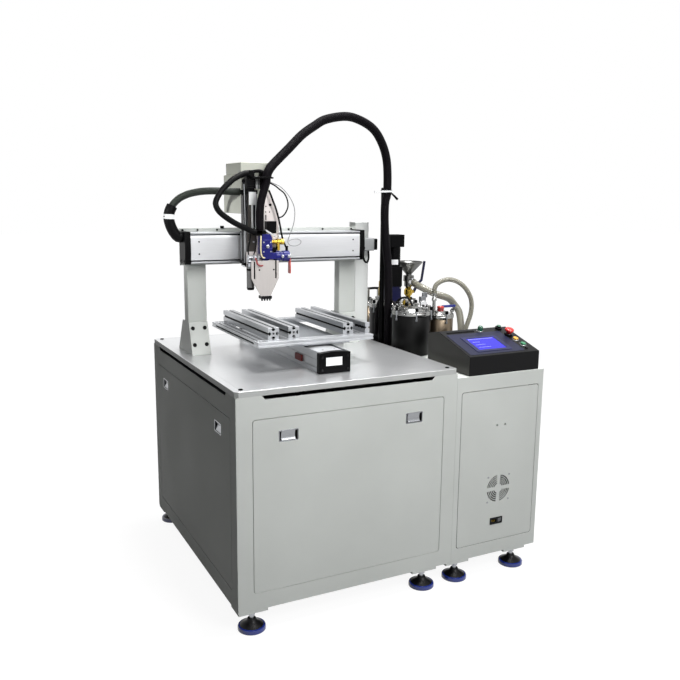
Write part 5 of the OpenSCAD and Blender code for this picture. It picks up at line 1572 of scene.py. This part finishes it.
@dataclass
class Pots(Assembly):
    """The pots on the side cabinet with lids, agitator, funnel and valves."""

    base: float = SIDE_TOP
    lid_over: float = 3

    def build(self) -> None:
        """Makes the pots, their lids and what stands on them."""
        self._bodies()
        self._lids()
        self._agitator()
        self._funnel()
        self._tap()

    def _bodies(self) -> None:
        """Makes the walls of the pots."""
        for name, finish, pots in (
            ("black_pots", POT_BLACK, BLACK_POTS), ("steel_pots", POT_STEEL, STEEL_POTS)
        ):
            piece = Piece(name)
            for pot in pots:
                r, h = pot.radius, pot.height
                wall = [
                    (0, 0), (r - 6, 0), (r - 2, 2), (r, 6), (r, h - 18), (r - 1.2, h - 16), (r, h - 14),
                    (r, h)
                ]
                piece.revolve((pot.x, pot.y, self.base), [*wall, (r - 3, h), (r - 3, 8), (0, 8)], 72)
            self.add(piece, finish, 0, name)

    def _lids(self) -> None:
        """Makes the lids with their knobs, the two necks and the handle."""
        lids, dark = Piece("pot_lids"), Piece("lid_knobs")
        for pot in (*BLACK_POTS, *STEEL_POTS):
            x, y, size = pot.x, pot.y, pot.knob
            z, edge = self.base + pot.height, pot.radius + self.lid_over
            lids.turned(
                (x, y, z),
                [(edge - 1, 0), (edge, 1), (edge, 7), (edge - 1, 8), (edge - 31, 8), (edge - 33, 9.5),
                 (edge - 37, 14), (edge * 0.42, 20)],
                72
            )
            for i in range(pot.knobs):
                angle = math.radians(40 + 360 * i / pot.knobs)
                kx, ky = x + (edge - 10) * math.cos(angle), y + (edge - 10) * math.sin(angle)
                lids.cylinder((kx, ky, z + 7), (kx, ky, z + 20), size / 2, sides=20)
                lids.turned(
                    (kx, ky, z + 19), [(size * 0.9, 0), (size, 1.5), (size, 7.5), (size * 0.9, 9)], 6
                )
                out = Vector((math.cos(angle), math.sin(angle), 0))
                spot = Vector((x, y, z))
                dark.cylinder(
                    spot + out * (edge - 2.6), spot + out * (edge - 0.2) + Vector((0, 0, -2)), size * 0.5,
                    sides=16
                )
        lids.drum((949, 691, self.base + 198), 9, 40, 28)
        lids.turned(
            (1127, 521, self.base + 163),
            [(7.5, 0), (7.5, 61), (11, 61), (11, 70), (8.5, 76), (7.5, 78), (8.5, 80), (7.5, 84), (8.5, 86),
             (8.5, 95)],
            28
        )
        z = self.base + 183
        for s in (-1, 1):
            lids.block((1030 + s * 28 - 5, 899, z), (1030 + s * 28 + 5, 911, z + 63))
        self.add(lids, LID_STEEL, 0.5, "pot_lids")
        dark.curve([(997, 905, z + 60), (1030, 905, z + 62), (1063, 905, z + 60)], 8, 6, 14)
        self.add(dark, BLACK, 0.4)
        self._lid_fittings()

    def _lid_fittings(self) -> None:
        """Makes the brass, the gauge and the lines on the lids."""
        b = self.base
        brass = Piece("lid_brass")
        brass.drum((949, 691, b + 237), 13, 22, 6)
        brass.turned((949, 691, b + 258), [(11, 0), (11, 12), (9, 14), (11, 16), (11, 44), (9, 46)], 28)
        brass.turned((1012, 590, b + 203), [(8, 0), (8, 14), (5, 15), (5, 26)], 6)
        self.add(brass, BRASS, 0.5)
        gauge = Piece("lid_gauge")
        gauge.turned((1034, 480, b + 200), [(6, 0), (6, 12), (4, 13), (4, 20)], 6)
        gauge.turned((1034, 474, b + 222), [(14, 0), (16, 2), (16, 10), (14, 12)], 36, along=FRONT)
        gauge.cylinder((1012, 590, b + 229), (1012, 566, b + 229), 4, sides=18)
        self.add(gauge, CHROME, 0.4)
        lines = Piece("lid_lines")
        lines.curve(
            [(949, 680, b + 226), (930, 672, b + 214), (918, 668, b + 186), (915, 672, b + 120),
             (921, 682, b + 60)],
            12, 7, 14
        )
        lines.curve(
            [(1030, 548, b + 202), (1038, 582, b + 222), (1036, 606, b + 232), (1020, 628, b + 228),
             (1000, 640, b + 208)],
            8, 5, 12
        )
        lines.curve(
            [(952, 548, b + 202), (946, 584, b + 222), (950, 616, b + 228), (966, 640, b + 208)], 8, 5, 12
        )
        self.add(lines, RUBBER, 0)
        self._clamps()

    def _clamps(self) -> None:
        """Makes the clamped rims, the clamp bolts and their knobs."""
        rims, bolts, caps = Piece("clamp_rims"), Piece("clamp_bolts"), Piece("clamp_knobs")
        for pot in (*BLACK_POTS, *STEEL_POTS):
            r, top = pot.radius + self.lid_over, self.base + pot.height
            rims.revolve(
                (pot.x, pot.y, top - 9),
                [(r - 5, 0), (r - 0.6, 0), (r + 0.4, 2), (r + 0.4, 7), (r - 0.6, 9.2), (r - 5, 9.2)], 72
            )
            for i in range(pot.knobs):
                angle = math.radians(pot.turned + 360 * i / pot.knobs)
                out = Vector((math.cos(angle), math.sin(angle), 0))
                spot = Vector((pot.x, pot.y, top)) + out * (r + 1.5)
                bolts.cylinder(spot + Vector((0, 0, -26)), spot + Vector((0, 0, 20)), 3, sides=14)
                bolts.drum(spot + Vector((0, 0, -30)), 5.5, 8, 6)
                caps.turned(spot + Vector((0, 0, 12)), [(6, 0), (7.4, 2), (7.4, 12), (5, 15)], 12)
        self.add(rims, LID_STEEL, 0)
        self.add(bolts, ZINC, 0.3)
        self.add(caps, BLACK, 0.4)

    def _agitator(self) -> None:
        """Makes the agitator's drive and its shaft with paddles."""
        x, y, z = BLACK_POTS[0].x, BLACK_POTS[0].y, self.base + 210
        black = Piece("agitator_drive")
        black.prism(Z, rounded(66, 72, 3, (x - 38, y - 36)), z + 66, z + 156)
        black.drum((x, y, z + 156), 30, 90, 40)
        for i in range(9):
            black.drum((x, y, z + 162 + 9 * i), 32, 4, 40)
        black.prism(Z, rounded(72, 66, 3, (x - 35, y - 33)), z + 246, z + 302)
        self.add(black, BLACK, 1.2, "agitator_drive")
        self.add(
            Piece("agitator_gearbox").prism(
                Z, rounded(60, 60, 4, (x - 32, y - 30)), z, z + 66, [circle(x, y, 7.1, 24)]
            ),
            NAVY_GRIP, 1.2
        )
        tag = Piece("blank_plate")
        arc = [math.radians(-168 + 8 * i) for i in range(12)]
        wrap = [(x + 32.9 * math.cos(a), y + 32.9 * math.sin(a)) for a in arc]
        wrap += [(x + 32.2 * math.cos(a), y + 32.2 * math.sin(a)) for a in reversed(arc)]
        tag.prism(Z, wrap, z + 166, z + 189)
        self.add(tag, WHITE, 0.2)
        bolts = Piece("agitator_bolts")
        for dx, dz in product((-26, 22), (8, 58)):
            bolts.screw((x + dx, y - 30, z + dz), FRONT, 4, 3)
        self.add(bolts, ZINC, 0.3)
        shaft = Piece("agitator_shaft")
        shaft.cylinder((x, y, self.base + 40), (x, y, self.base + 260), 7, sides=28)
        for height, angle in product((46, 110), (0, 120, 240)):
            shaft.place = shift(x, y, self.base) @ turn(angle + height, Z)
            shaft.block((3, -2, height), (79, 2, height + 22))
        self.add(shaft, STEEL, 0.4, "agitator_shaft", body=Body.AGITATOR)

    def _funnel(self) -> None:
        """Makes the funnel, the fill valve with its lever and the small lid valves."""
        at = shift(1121, 731, self.base + 198)
        cone = Piece("funnel", at)
        cone.revolve(
            (0, 0, 0),
            [(8, 70), (20, 70), (20, 94), (25, 95), (25, 121), (23, 122), (14, 123), (14, 128), (62, 181),
             (63, 181), (63, 187), (60.5, 187), (60.5, 183), (12, 131), (8, 131)],
            72
        )
        cone.turned((0, -17, 92), [(15, 0), (15, 4), (17, 5), (17, 13)], 32, along=FRONT)
        self.add(cone, FUNNEL_STEEL, 0.3, "funnel")
        clamp = Piece("hose_clamp", at)
        for y in (-31, -40):
            clamp.revolve((0, y, 92), [(16, 0), (17.4, 0), (17.4, 6), (16, 6)], 40, along=FRONT)
        clamp.block((-5, -38, 108), (5, -30, 114))
        self.add(clamp, CHROME, 0)
        valve = Piece("fill_valve", at)
        valve.revolve((0, 0, 0), [(5, 0), (12, 0), (12, 25), (5, 25)], 6)
        valve.revolve(
            (0, 0, 0), [(5, 24), (12, 24), (16, 28), (20, 34), (20, 52), (16, 58), (13, 62), (5, 62)], 40
        )
        valve.revolve((0, 0, 0), [(5, 61), (15, 61), (15, 70), (5, 70)], 6)
        valve.turned((10, 0, 44), [(8, 0), (8, 16), (6.5, 18), (4.05, 18), (4.05, 10)], 28, along=X)
        self.add(valve, BRASS, 0.5, "fill_valve")
        lever = Piece("funnel_lever", at @ shift(28.3, 0, 44))
        lever.prism(
            Y,
            [(0.4, -6), (4, -6), (25, 30), (47, 51), (61, 140), (58, 143), (54, 141), (41, 56), (20, 37),
             (0.4, 6)],
            -6, 6
        )
        lever.cylinder((-7, 0, 0), (1, 0, 0), 3.95, sides=20)
        lever.screw((4, 0, 0), RIGHT, 4.5, 4)
        self.add(lever, NAVY_GRIP, 1, "funnel_lever", body=Body.FUNNEL_LEVER)
        side = Piece("lid_valves")
        side.block((1078, 552, self.base + 212), (1104, 572, self.base + 240))
        side.drum((1091, 562, self.base + 190), 7, 24, 18)
        side.block((1091, 556, self.base + 236), (1114, 568, self.base + 258))
        self.add(side, GREY_PLATE, 1.4)
        bracket = Piece("lid_bracket")
        bracket.block((972, 617, self.base + 178), (984, 622, self.base + 207))
        bracket.block((972, 600, self.base + 204), (1020, 622, self.base + 207))
        self.add(bracket, LABEL, 0.4)

    def _tap(self) -> None:
        """Makes the small pot's tap."""
        z = self.base + 164
        self.add(
            Piece("tap_stub").turned(
                (1162, 520, z), [(15, 0), (15, 20), (13, 26), (4.05, 26), (4.05, 15)], 36
            ),
            RED_DARK, 0.6
        )
        self.add(
            Piece("pot_lever", shift(1162, 520, z + 26.3)).prism(
                Y, [(8, 0), (78, 0), (80, 2), (80, 9), (78, 11), (8, 11)], -4, 4
            ),
            BLUE_GRIP, 1.6, "pot_lever", body=Body.POT_LEVER
        )
        cap = Piece("pot_lever_hub", shift(1162, 520, z + 26.3))
        cap.cylinder((0, 0, -9), (0, 0, 1), 3.95, sides=20)
        cap.turned((0, 0, 0), [(16, 0), (16, 5), (13, 8)], 36)
        self.add(cap, RED_GRIP, 0.6, body=Body.POT_LEVER)


@dataclass
class Mast(Assembly):
    """The mast that holds the main hose up."""

    post: tuple[float, float] = (924, 642)
    radius: float = 11
    height: float = 720
    ring: tuple[float, float] = (918, 602)
    ring_low: float = SIDE_TOP + 697
    ring_depth: float = 14

    def build(self) -> None:
        """Makes the post and the ring that holds the main hose."""
        r, h, low, deep = self.radius, self.height, self.ring_low, self.ring_depth
        self.add(
            Piece("mast").turned(
                (*self.post, SIDE_TOP), [(13.5, 0), (13.5, 5), (12, 6), (r, 6), (r, h - 2), (9, h)], 32
            ),
            BLACK, 0, "mast"
        )
        ring = Piece("hose_ring")
        ring.revolve((*self.ring, low), [(18.3, 0), (22, 0), (22, deep), (18.3, deep)], 40)
        ring.prism(Z, [(908, 622), (931, 622), (933, 642), (914, 642)], low, low + deep)
        ring.revolve((*self.post, low), [(r, 0), (14, 0), (14, deep), (r, deep)], 32)
        ring.tube([(932, 588, low - 1), (945, 584, low - 13), (960, 582, low - 27)], [3.5, 4.5, 5.5], 14)
        self.add(ring, BLACK, 0.6)
        tie = Piece("hose_ring_band")
        tie.revolve((*self.ring, low + 3), [(21.9, 0), (22.6, 0), (22.6, 8), (21.9, 8)], 40)
        tie.prism(Y, [(846, low), (904, low + 2), (904, low + 11), (846, low + 9)], 584, 588)
        self.add(tie, WHITE, 0.2)


@dataclass
class Console(Assembly):
    """The sloping console with its screen and buttons."""

    slope: Matrix = shift(951, 5, 832) @ turn(math.degrees(math.atan(65 / 217)), X)
    width: float = 345

    def build(self) -> None:
        """Makes the case, its cheeks, the screen and the buttons."""
        case = Piece("console_case")
        side = [(5, SIDE_TOP), (5, 832), (222, 897), (297, 883), (297, SIDE_TOP)]
        case.prism(X, side, 952, 1295)
        self.add(case, CONSOLE, 2.2, "console_case")
        cheek = Piece("console_cheeks")
        for x in (951, 1295):
            cheek.prism(X, [(6.5, 757), (6.5, 830), (222, 895), (295, 881.5), (295, 757)], x, x + 1)
        self.add(cheek, CHEEK, 0.3)
        self._face()
        self._buttons()

    def _face(self) -> None:
        """Makes the overlay, the screen, and a near-black strip of painted shade for the recess."""
        s = self.slope
        self.add(Piece("console_overlay", s).prism(Z, rounded(268, 178, 6, (14, 14)), 0, 0.8), OVERLAY, 0.2)
        self.add(
            Piece("screen_frame", s).prism(
                Z, rounded(172, 126, 5, (60, 32)), 0.8, 2.6, [rounded(136, 98, 2, (78, 46))]
            ),
            BEZEL, 0.4
        )
        self.add(Piece("screen", s).block((78, 46, 0.8), (214, 144, 1.4)), SCREEN, 0)
        marks = Piece("screen_marks", s)
        marks.block((84, 134, 1.4), (206, 139, 1.6))
        for i in range(3):
            marks.block((90, 66 + 22 * i, 1.4), (150 - 12 * i, 69 + 22 * i, 1.6))
        self.add(marks, BAR_LIGHT, 0)
        # A flat near-black strip where the recess is: painted shade.
        self.add(Piece("console_recess", s).prism(Z, rounded(136, 10, 4, (27, 202)), 0, 0.6), SLOT_SHADE, 0)

    def _buttons(self) -> None:
        """Makes the buttons, their rings and the lamp."""
        s, w = self.slope, self.width
        stop, yellow, green = (w - 46, 150), (w - 41, 107), (w - 39, 60)
        dome, lamp, small = (w - 151, 208), (w - 52, 212), (w - 44, 30)
        rings, dark = Piece("button_rings", s), Piece("button_collars", s)
        for x, y in (yellow, green, dome):
            rings.revolve((x, y, 0), [(11.5, 0), (14.5, 0), (14, 2), (13, 3), (11.5, 3)], 40)
        self.add(rings, LATCH, 0)
        dark.revolve((*stop, 0), [(11.5, 0), (17, 0), (17, 8), (15, 10), (11.5, 10)], 40)
        dark.turned((*lamp, 0), [(14.5, 0), (14.5, 8), (9.5, 9), (9.5, 14)], 40)
        dark.drum((*small, 0), 6, 5, 30)
        self.add(dark, BLACK_GLOSS, 0.3)
        self.add(
            Piece("lamp_top", s).revolve((*lamp, 14), [(0, 0), (9.4, 0), (9.4, 0.6), (0, 0.8)], 32),
            DARK_GREEN, 0
        )
        cap = [(0, -9), (11, -9), (11, 8), (10, 9), (0, 9)]
        for node, at, finish, body, shape in (
            ("yellow_button", yellow, YELLOW_CAP, Body.YELLOW, cap),
            ("green_button", green, GREEN_CAP, Body.GREEN, cap),
            (
                "dome_button", dome, DARK_GREEN, Body.DOME,
                [(0, -9), (11, -9), (11, 15), (10, 18), (8, 20.5), (4, 22), (0, 22)]
            ),
            (
                "stop_button", stop, RED_CAP, Body.STOP,
                [(0, -9), (11, -9), (11, 17), (15, 17), (19, 21), (19, 26), (17, 29), (14, 31), (6, 32.6),
                 (0, 33)]
            ),
        ):
            self.add(Piece(node, s).revolve((*at, 0), shape, 44), finish, 0, node, body=body)


@dataclass
class PowerEntry(Assembly):
    """The fan and the mains inlet on the side cabinet's front."""

    fan_side: float = 120
    fan_depth: float = 25
    fan_bore: float = 57
    place: Matrix = shift(1115, 2, 278) @ turn(-90, X)
    inlet: Matrix = shift(1111, 0, 140)

    def build(self) -> None:
        """Makes the fan, its rotor, the inlet and its rocker."""
        place, side, deep = self.place, self.fan_side, self.fan_depth
        fan = Piece("fan", place)
        screws = [circle(52.5 * sx, 52.5 * sy, 2.2, 16) for sx in (-1, 1) for sy in (-1, 1)]
        fan.prism(
            Z, rounded(side, side, 8, (-side / 2, -side / 2)), 0, deep,
            [circle(0, 0, self.fan_bore, 64), *screws]
        )
        fan.cylinder((0, 0, deep - 3), (0, 0, deep), 19)
        for angle in (45, 135, 225, 315):
            fan.place = place @ turn(angle, Z)
            fan.block((0, -3, deep - 3), (self.fan_bore + 1, 3, deep))
        fan.place = place
        fan.cylinder((0, 0, 6), (0, 0, 23), 3, sides=20)
        self.add(fan, FAN_BLACK, 0.6, "fan")
        rotor = Piece("fan_rotor", place)
        rotor.revolve((0, 0, 4), [(3.1, 0), (17, 0), (18.5, 2), (18.5, 17), (3.1, 17)], 40)
        for i in range(7):
            rotor.place = place @ turn(360 * i / 7, Z) @ shift(16, 0, 13) @ turn(35, X)
            rotor.block((0, -11, -1), (37, 11, 1))
        self.add(rotor, FAN_BLACK, 0.3, "fan_rotor", body=Body.FAN)
        inlet = Piece("power_inlet", self.inlet)
        openings = [rounded(24, 16, 3, (-23.5, -8), 3), rounded(18, 18, 1, (8, -9), 2)]
        inlet.prism(Y, rounded(61, 28, 2, (-30.5, -14)), -3, 0, openings)
        inlet.prism(Y, rounded(53, 22, 1, (-26.5, -11), 2), 0, 28, openings)
        inlet.prism(Y, rounded(26, 18, 1, (-24.5, -9), 2), 18, 20)
        self.add(inlet, FAN_BLACK, 0.5, "power_inlet")
        pins = Piece("inlet_pins", self.inlet)
        for x, z in ((-18, -3.5), (-11.5, -6), (-5, -3.5)):
            pins.block((x - 1, 2, z), (x + 1, 19, z + 5))
        self.add(pins, BRASS, 0.2)
        rocker = Piece("inlet_rocker", shift(1128, 3, 140))
        rocker.prism(
            X, [(5, -3), (5, 3), (-3, 7.5), (-6.5, 7.8), (-4.5, 0), (-3.5, -7.8), (-1, -7.5)], -8.5, 8.5
        )
        rocker.cylinder((-10.5, 0, 0), (10.5, 0, 0), 1.45, sides=18)
        self.add(rocker, ROCKER, 0.4, "inlet_rocker", body=Body.ROCKER)


@dataclass(frozen=True)
class Hose:
    """One hose, conduit or cable and the two ends that it runs between."""

    name: str
    finish: Finish
    diameter: float
    points: tuple[tuple[float, float, float], ...]
    start: Body = Body.X_AXIS
    end: Body = Body.Z_AXIS
    far_end: str = "object"
    stiffness: str = "stiff"
    lay: str = "hanging"
    in_frame: bool = True
    step: float = 9
    held: tuple[float, float, float] | None = None


HOSES = (
    Hose(
        "main_hose", WEAVE, 36,
        ((939, 606, 768), (939, 606, 850), (939, 606, 950), (937, 606, 1050), (930, 605, 1150),
         (918, 604, 1240), (910, 603, 1320), (908, 602, 1385), (911, 602, 1422), (918, 602, 1449),
         (918, 602, 1532), (909, 600, 1601), (883, 596, 1663), (838, 589, 1716), (771, 580, 1748),
         (695, 570, 1760), (598, 558, 1742), (541, 550, 1712), (481, 536, 1674), (421, 523, 1621),
         (377, 513, 1583), (346, 505, 1556), (328, 500, 1537), (318, 498, 1520), (316, 498, 1511),
         (316, 498, 1506)),
        Body.MACHINE, Body.X_AXIS, held=(918, 602, 1460)
    ),
    Hose(
        "head_hose", WEAVE, 31,
        ((315, 498, 1500), (315, 498, 1488), (304, 496, 1460), (291, 494, 1420), (284, 493, 1380),
         (283, 492, 1342), (283, 492, 1318), (283, 492, 1302))
    ),
    Hose(
        "loop_hose", RUBBER, 22,
        ((245, 512, 1520), (233, 512, 1519), (207, 506, 1509), (172, 496, 1490), (132, 487, 1456),
         (108, 480, 1424), (100, 475, 1403), (106, 472, 1383), (121, 471, 1366), (147, 471, 1347),
         (180, 472, 1328), (216, 475, 1312), (247, 480, 1299), (262, 480, 1298))
    ),
    Hose(
        "conduit", CONDUIT, 28,
        ((18, 655, 1272), (3, 655, 1272), (-13, 655, 1291), (-25, 655, 1316), (-31, 655, 1342),
         (-28, 655, 1369), (-17, 655, 1392), (-5, 654, 1407), (14, 652, 1423), (34, 649, 1433),
         (52, 645, 1440), (89, 632, 1448), (124, 615, 1451), (160, 602, 1451), (196, 591, 1450),
         (222, 588, 1449), (237, 588, 1449)),
        Body.MACHINE, Body.X_AXIS
    ),
    Hose(
        "clear_hose_a", CLEAR_HOSE, 32,
        ((1121, 701, 1046), (1121, 690, 1046), (1132, 676, 1036), (1150, 658, 1024), (1171, 628, 1009),
         (1185, 602, 1000), (1199, 583, 994), (1217, 569, 988), (1242, 563, 976), (1264, 552, 948),
         (1277, 537, 920), (1275, 520, 884), (1269, 504, 846), (1268, 499, 800), (1268, 499, 764)),
        Body.MACHINE, Body.MACHINE, stiffness="medium"
    ),
    Hose(
        "clear_hose_b", CLEAR_HOSE, 21,
        ((1127, 521, 1014), (1127, 521, 1032), (1132, 519, 1049), (1143, 516, 1060), (1160, 512, 1069),
         (1182, 505, 1075), (1206, 497, 1073), (1230, 488, 1064), (1251, 478, 1048), (1270, 470, 1024),
         (1283, 463, 997), (1289, 460, 969), (1289, 459, 942), (1283, 459, 910), (1274, 461, 883),
         (1266, 464, 854), (1262, 466, 820), (1262, 466, 764)),
        Body.MACHINE, Body.MACHINE, stiffness="medium"
    ),
    Hose(
        "head_cable", RUBBER, 7.5,
        ((324, 500, 1456), (331, 498, 1440), (341, 498, 1415), (352, 498, 1388), (363, 498, 1352),
         (371, 498, 1316), (377, 496, 1280), (384, 494, 1256), (392, 493, 1238)),
        in_frame=False, step=6
    ),
    Hose(
        "plate_cable", RUBBER, 5.5,
        ((330, 503, 1484), (350, 500, 1474), (368, 500, 1461), (389, 500, 1445), (402, 500, 1421),
         (405, 500, 1394), (396, 502, 1370), (383, 505, 1355), (370, 508, 1350)),
        in_frame=False, step=6
    ),
    Hose(
        "sensor_wire", WIRE_GREY, 3.2,
        ((330, 501, 1488), (350, 498, 1480), (374, 498, 1469), (403, 498, 1442), (423, 498, 1412),
         (434, 500, 1382), (436, 506, 1346), (433, 520, 1308), (424, 532, 1275), (420, 536, 1252),
         (432, 538, 1239), (455, 538, 1236), (475, 538, 1244), (479, 538, 1255), (463, 538, 1264),
         (438, 538, 1262), (425, 536, 1256)),
        end=Body.X_AXIS, far_end="bare", stiffness="medium", in_frame=False, step=6
    ),
    Hose(
        "motor_cable", RUBBER, 14,
        ((262, 546, 1500), (264, 545, 1513), (271, 545, 1522), (281, 545, 1527), (291, 542, 1529),
         (303, 537, 1529), (313, 533, 1525), (317, 532, 1514), (318, 532, 1500)),
        end=Body.X_AXIS, lay="taut", in_frame=False, step=4
    ),
    Hose(
        "motor_loop", RUBBER, 9,
        ((852, 648, 1222), (850, 638, 1196), (844, 625, 1170), (830, 613, 1154), (814, 606, 1160),
         (806, 606, 1182), (812, 616, 1204), (826, 632, 1216)),
        Body.MACHINE, Body.MACHINE, in_frame=False, step=5
    ),
)
SLEEVE_PARTS = 6


@dataclass
class Hoses(Assembly):
    """Every hose, conduit and cable."""

    def build(self) -> None:
        """Makes them all."""
        for hose in HOSES:
            self._hose(hose)

    def _hose(self, hose: Hose) -> None:
        """Args:
            hose: The hose.
        """
        path = smooth_path(hose.points, hose.step)
        piece = Piece(hose.name)
        piece.tube(path, hose.diameter / 2, 24 if hose.diameter > 12 else 12)
        nodes = [hose.name] if hose.in_frame else []
        item = piece.build(hose.finish, hose.start, self.paint, 0, nodes, ride=hose.start is hose.end)
        if hose.start is not hose.end:
            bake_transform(item)
        extras = [self._sleeve(hose)] if hose.finish is CONDUIT else []

    def _sleeve(self, hose: Hose) -> Object:
        """Makes the sleeve over the conduit's lower bend.

        Args:
            hose: The hose.

        Returns:
            The object.
        """
        path = smooth_path(hose.points[: SLEEVE_PARTS + 1], hose.step)
        sleeve = Piece("conduit_sleeve")
        sleeve.tube(path, 21, 28)
        spot = len(path) * 2 // 3
        item = sleeve.build(RUBBER, Body.MACHINE, self.paint, 0)
        self.add(Piece("sleeve_mark").cylinder(path[spot - 1], path[spot + 1], 21.4, sides=28), LABEL, 0.3)
        return item


class Studio:
    """The floor, the lights, the world and the camera."""

    AT = Vector((-1.4807, -2.8976, 1.5009))
    TURN, DIP, ROLL = -0.474484, 0.180621, 0.0108264
    FOCAL_PIXELS = 771.44
    SENSOR_WIDTH = 36
    LEFT_LEVEL, RIGHT_LEVEL, FLOOR_GLOW = 0.0, 0.8, 0.92
    WHITE_LIGHT = (1, 1, 1, 1)
    FLOOR_HALF = 30

    def __init__(self, paint: Paint) -> None:
        """Keeps the maker of materials."""
        self.paint = paint

    def camera(self) -> None:
        """Places the camera as the photograph's was."""
        az, el, roll = self.TURN, self.DIP, self.ROLL
        forward = Vector((-math.sin(az) * math.cos(el), math.cos(az) * math.cos(el), -math.sin(el)))
        side = Vector((math.cos(az), math.sin(az), 0))
        over = side.cross(forward)
        right = side * math.cos(roll) + over * math.sin(roll)
        up = over * math.cos(roll) - side * math.sin(roll)
        data = bpy.data.cameras.new("camera")
        data.sensor_fit = "HORIZONTAL"
        data.sensor_width = self.SENSOR_WIDTH
        data.lens = self.FOCAL_PIXELS / IMAGE_SIDE * self.SENSOR_WIDTH
        data.clip_end = 60
        camera = bpy.data.objects.new("camera", data)
        bpy.context.scene.collection.objects.link(camera)
        basis = Matrix((right, up, -forward)).transposed().to_4x4()
        camera.matrix_world = Matrix.Translation(self.AT) @ basis
        bpy.context.scene.camera = camera

    def light(self) -> None:
        """Adds the soft lights and the pale surroundings."""
        world = bpy.data.worlds.new("studio")
        world.use_nodes = True
        tree = world.node_tree
        place = add_node(tree, "TexCoord", {})
        parts = add_node(tree, "SeparateXYZ", {"Vector": place.outputs["Generated"]})
        limits = {"From Min": -0.1, "From Max": 0.9, "To Min": self.LEFT_LEVEL, "To Max": self.RIGHT_LEVEL}
        spread = add_node(tree, "MapRange", {"Value": parts.outputs["X"], **limits})
        lit = tree.nodes["Background"]
        lit.inputs["Color"].default_value = linear((232, 236, 240))
        tree.links.new(spread.outputs["Result"], lit.inputs["Strength"])
        shown = add_node(tree, "Background", {"Color": self.WHITE_LIGHT})
        both = {1: lit.outputs["Background"], 2: shown.outputs["Background"]}
        mix = add_node(tree, "MixShader", {"Fac": self._seen(tree), **both})
        tree.links.new(mix.outputs["Shader"], tree.nodes["World Output"].inputs["Surface"])
        bpy.context.scene.world = world
        for name, at, aim, size, power, spread_angle in (
            ("key", (1.1, -4.0, 4.0), (0, 0, 0.9), 2.2, 88, 120),
            ("gantry", (-0.9, -4.2, 2.8), (-0.3, 0, 1.3), 1.4, 2, 34),
            ("top", (0.5, -0.1, 4.8), (0.1, 0, 0.8), 1.6, 60, 90),
            ("box", (-3.5, -0.9, 1.95), (-0.5, 0.12, 1.38), 0.2, 0.5, 14),
        ):
            data = bpy.data.lights.new(name, "AREA")
            data.size = size
            data.energy = power
            data.spread = math.radians(spread_angle)
            lamp = bpy.data.objects.new(name, data)
            bpy.context.scene.collection.objects.link(lamp)
            lamp.location = at
            lamp.rotation_euler = (Vector(aim) - Vector(at)).to_track_quat("-Z", "Y").to_euler()

    @staticmethod
    def _seen(tree: NodeTree) -> NodeSocket:
        """Is 1 where the camera, a reflection or a clear piece shows the surroundings.

        Args:
            tree: The node tree.

        Returns:
            The socket that gives it.
        """
        path = add_node(tree, "LightPath", {})
        total = path.outputs["Is Camera Ray"]
        for kind in ("Is Glossy Ray", "Is Transmission Ray"):
            total = add_node(
                tree, "Math", {0: total, 1: path.outputs[kind]}, operation="MAXIMUM"
            ).outputs["Value"]
        return total

    def _floor_material(self) -> Material:
        """Makes the floor, which shows white but for the object's shadow.

        Returns:
            The material.
        """
        material = self.paint.material(FLOOR)
        tree = material.node_tree
        shader = tree.nodes["Principled BSDF"]
        shader.inputs["Emission Color"].default_value = self.WHITE_LIGHT
        level = add_node(tree, "Math", {0: self._seen(tree), 1: self.FLOOR_GLOW}, operation="MULTIPLY")
        tree.links.new(level.outputs["Value"], shader.inputs["Emission Strength"])
        return material

    def floor(self) -> None:
        """Adds the pale floor."""
        data = bpy.data.meshes.new("floor")
        half = self.FLOOR_HALF
        data.from_pydata(
            [(-half, -half, 0), (half, -half, 0), (half, half, 0), (-half, half, 0)], [], [(0, 1, 2, 3)]
        )
        data.materials.append(self._floor_material())
        floor = bpy.data.objects.new("floor", data)
        bpy.context.scene.collection.objects.link(floor)


def main() -> None:
    """Builds the whole scene."""
    logging.basicConfig(level=logging.INFO)
    bpy.ops.wm.read_factory_settings(use_empty=True)
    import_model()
    bpy.context.scene.view_settings.view_transform = "Standard"
    paint = Paint()
    studio = Studio(paint)
    studio.camera()
    Hoses(paint).build()
    groups: list[Assembly] = [
        Cabinets(paint),
        Feet(paint),
        Worktop(paint),
        LongDrive(paint, "beam", "beam_body", BEAM_PLACE, 751, SILVER, Body.X_SCREW),
        LongDrive(paint, "table_drive", "y_module", TABLE_PLACE, 808, SILVER_Y, Body.Y_SCREW, arched=True),
        Table(paint),
        HeadDrive(paint),
        Head(paint),
        Pots(paint),
        Mast(paint),
        Console(paint),
        PowerEntry(paint),
    ]
    for group in groups:
        group.build()
        LOG.info("built %s", type(group).__name__)
    studio.light()
    studio.floor()


if __name__ == "__main__":
    main()
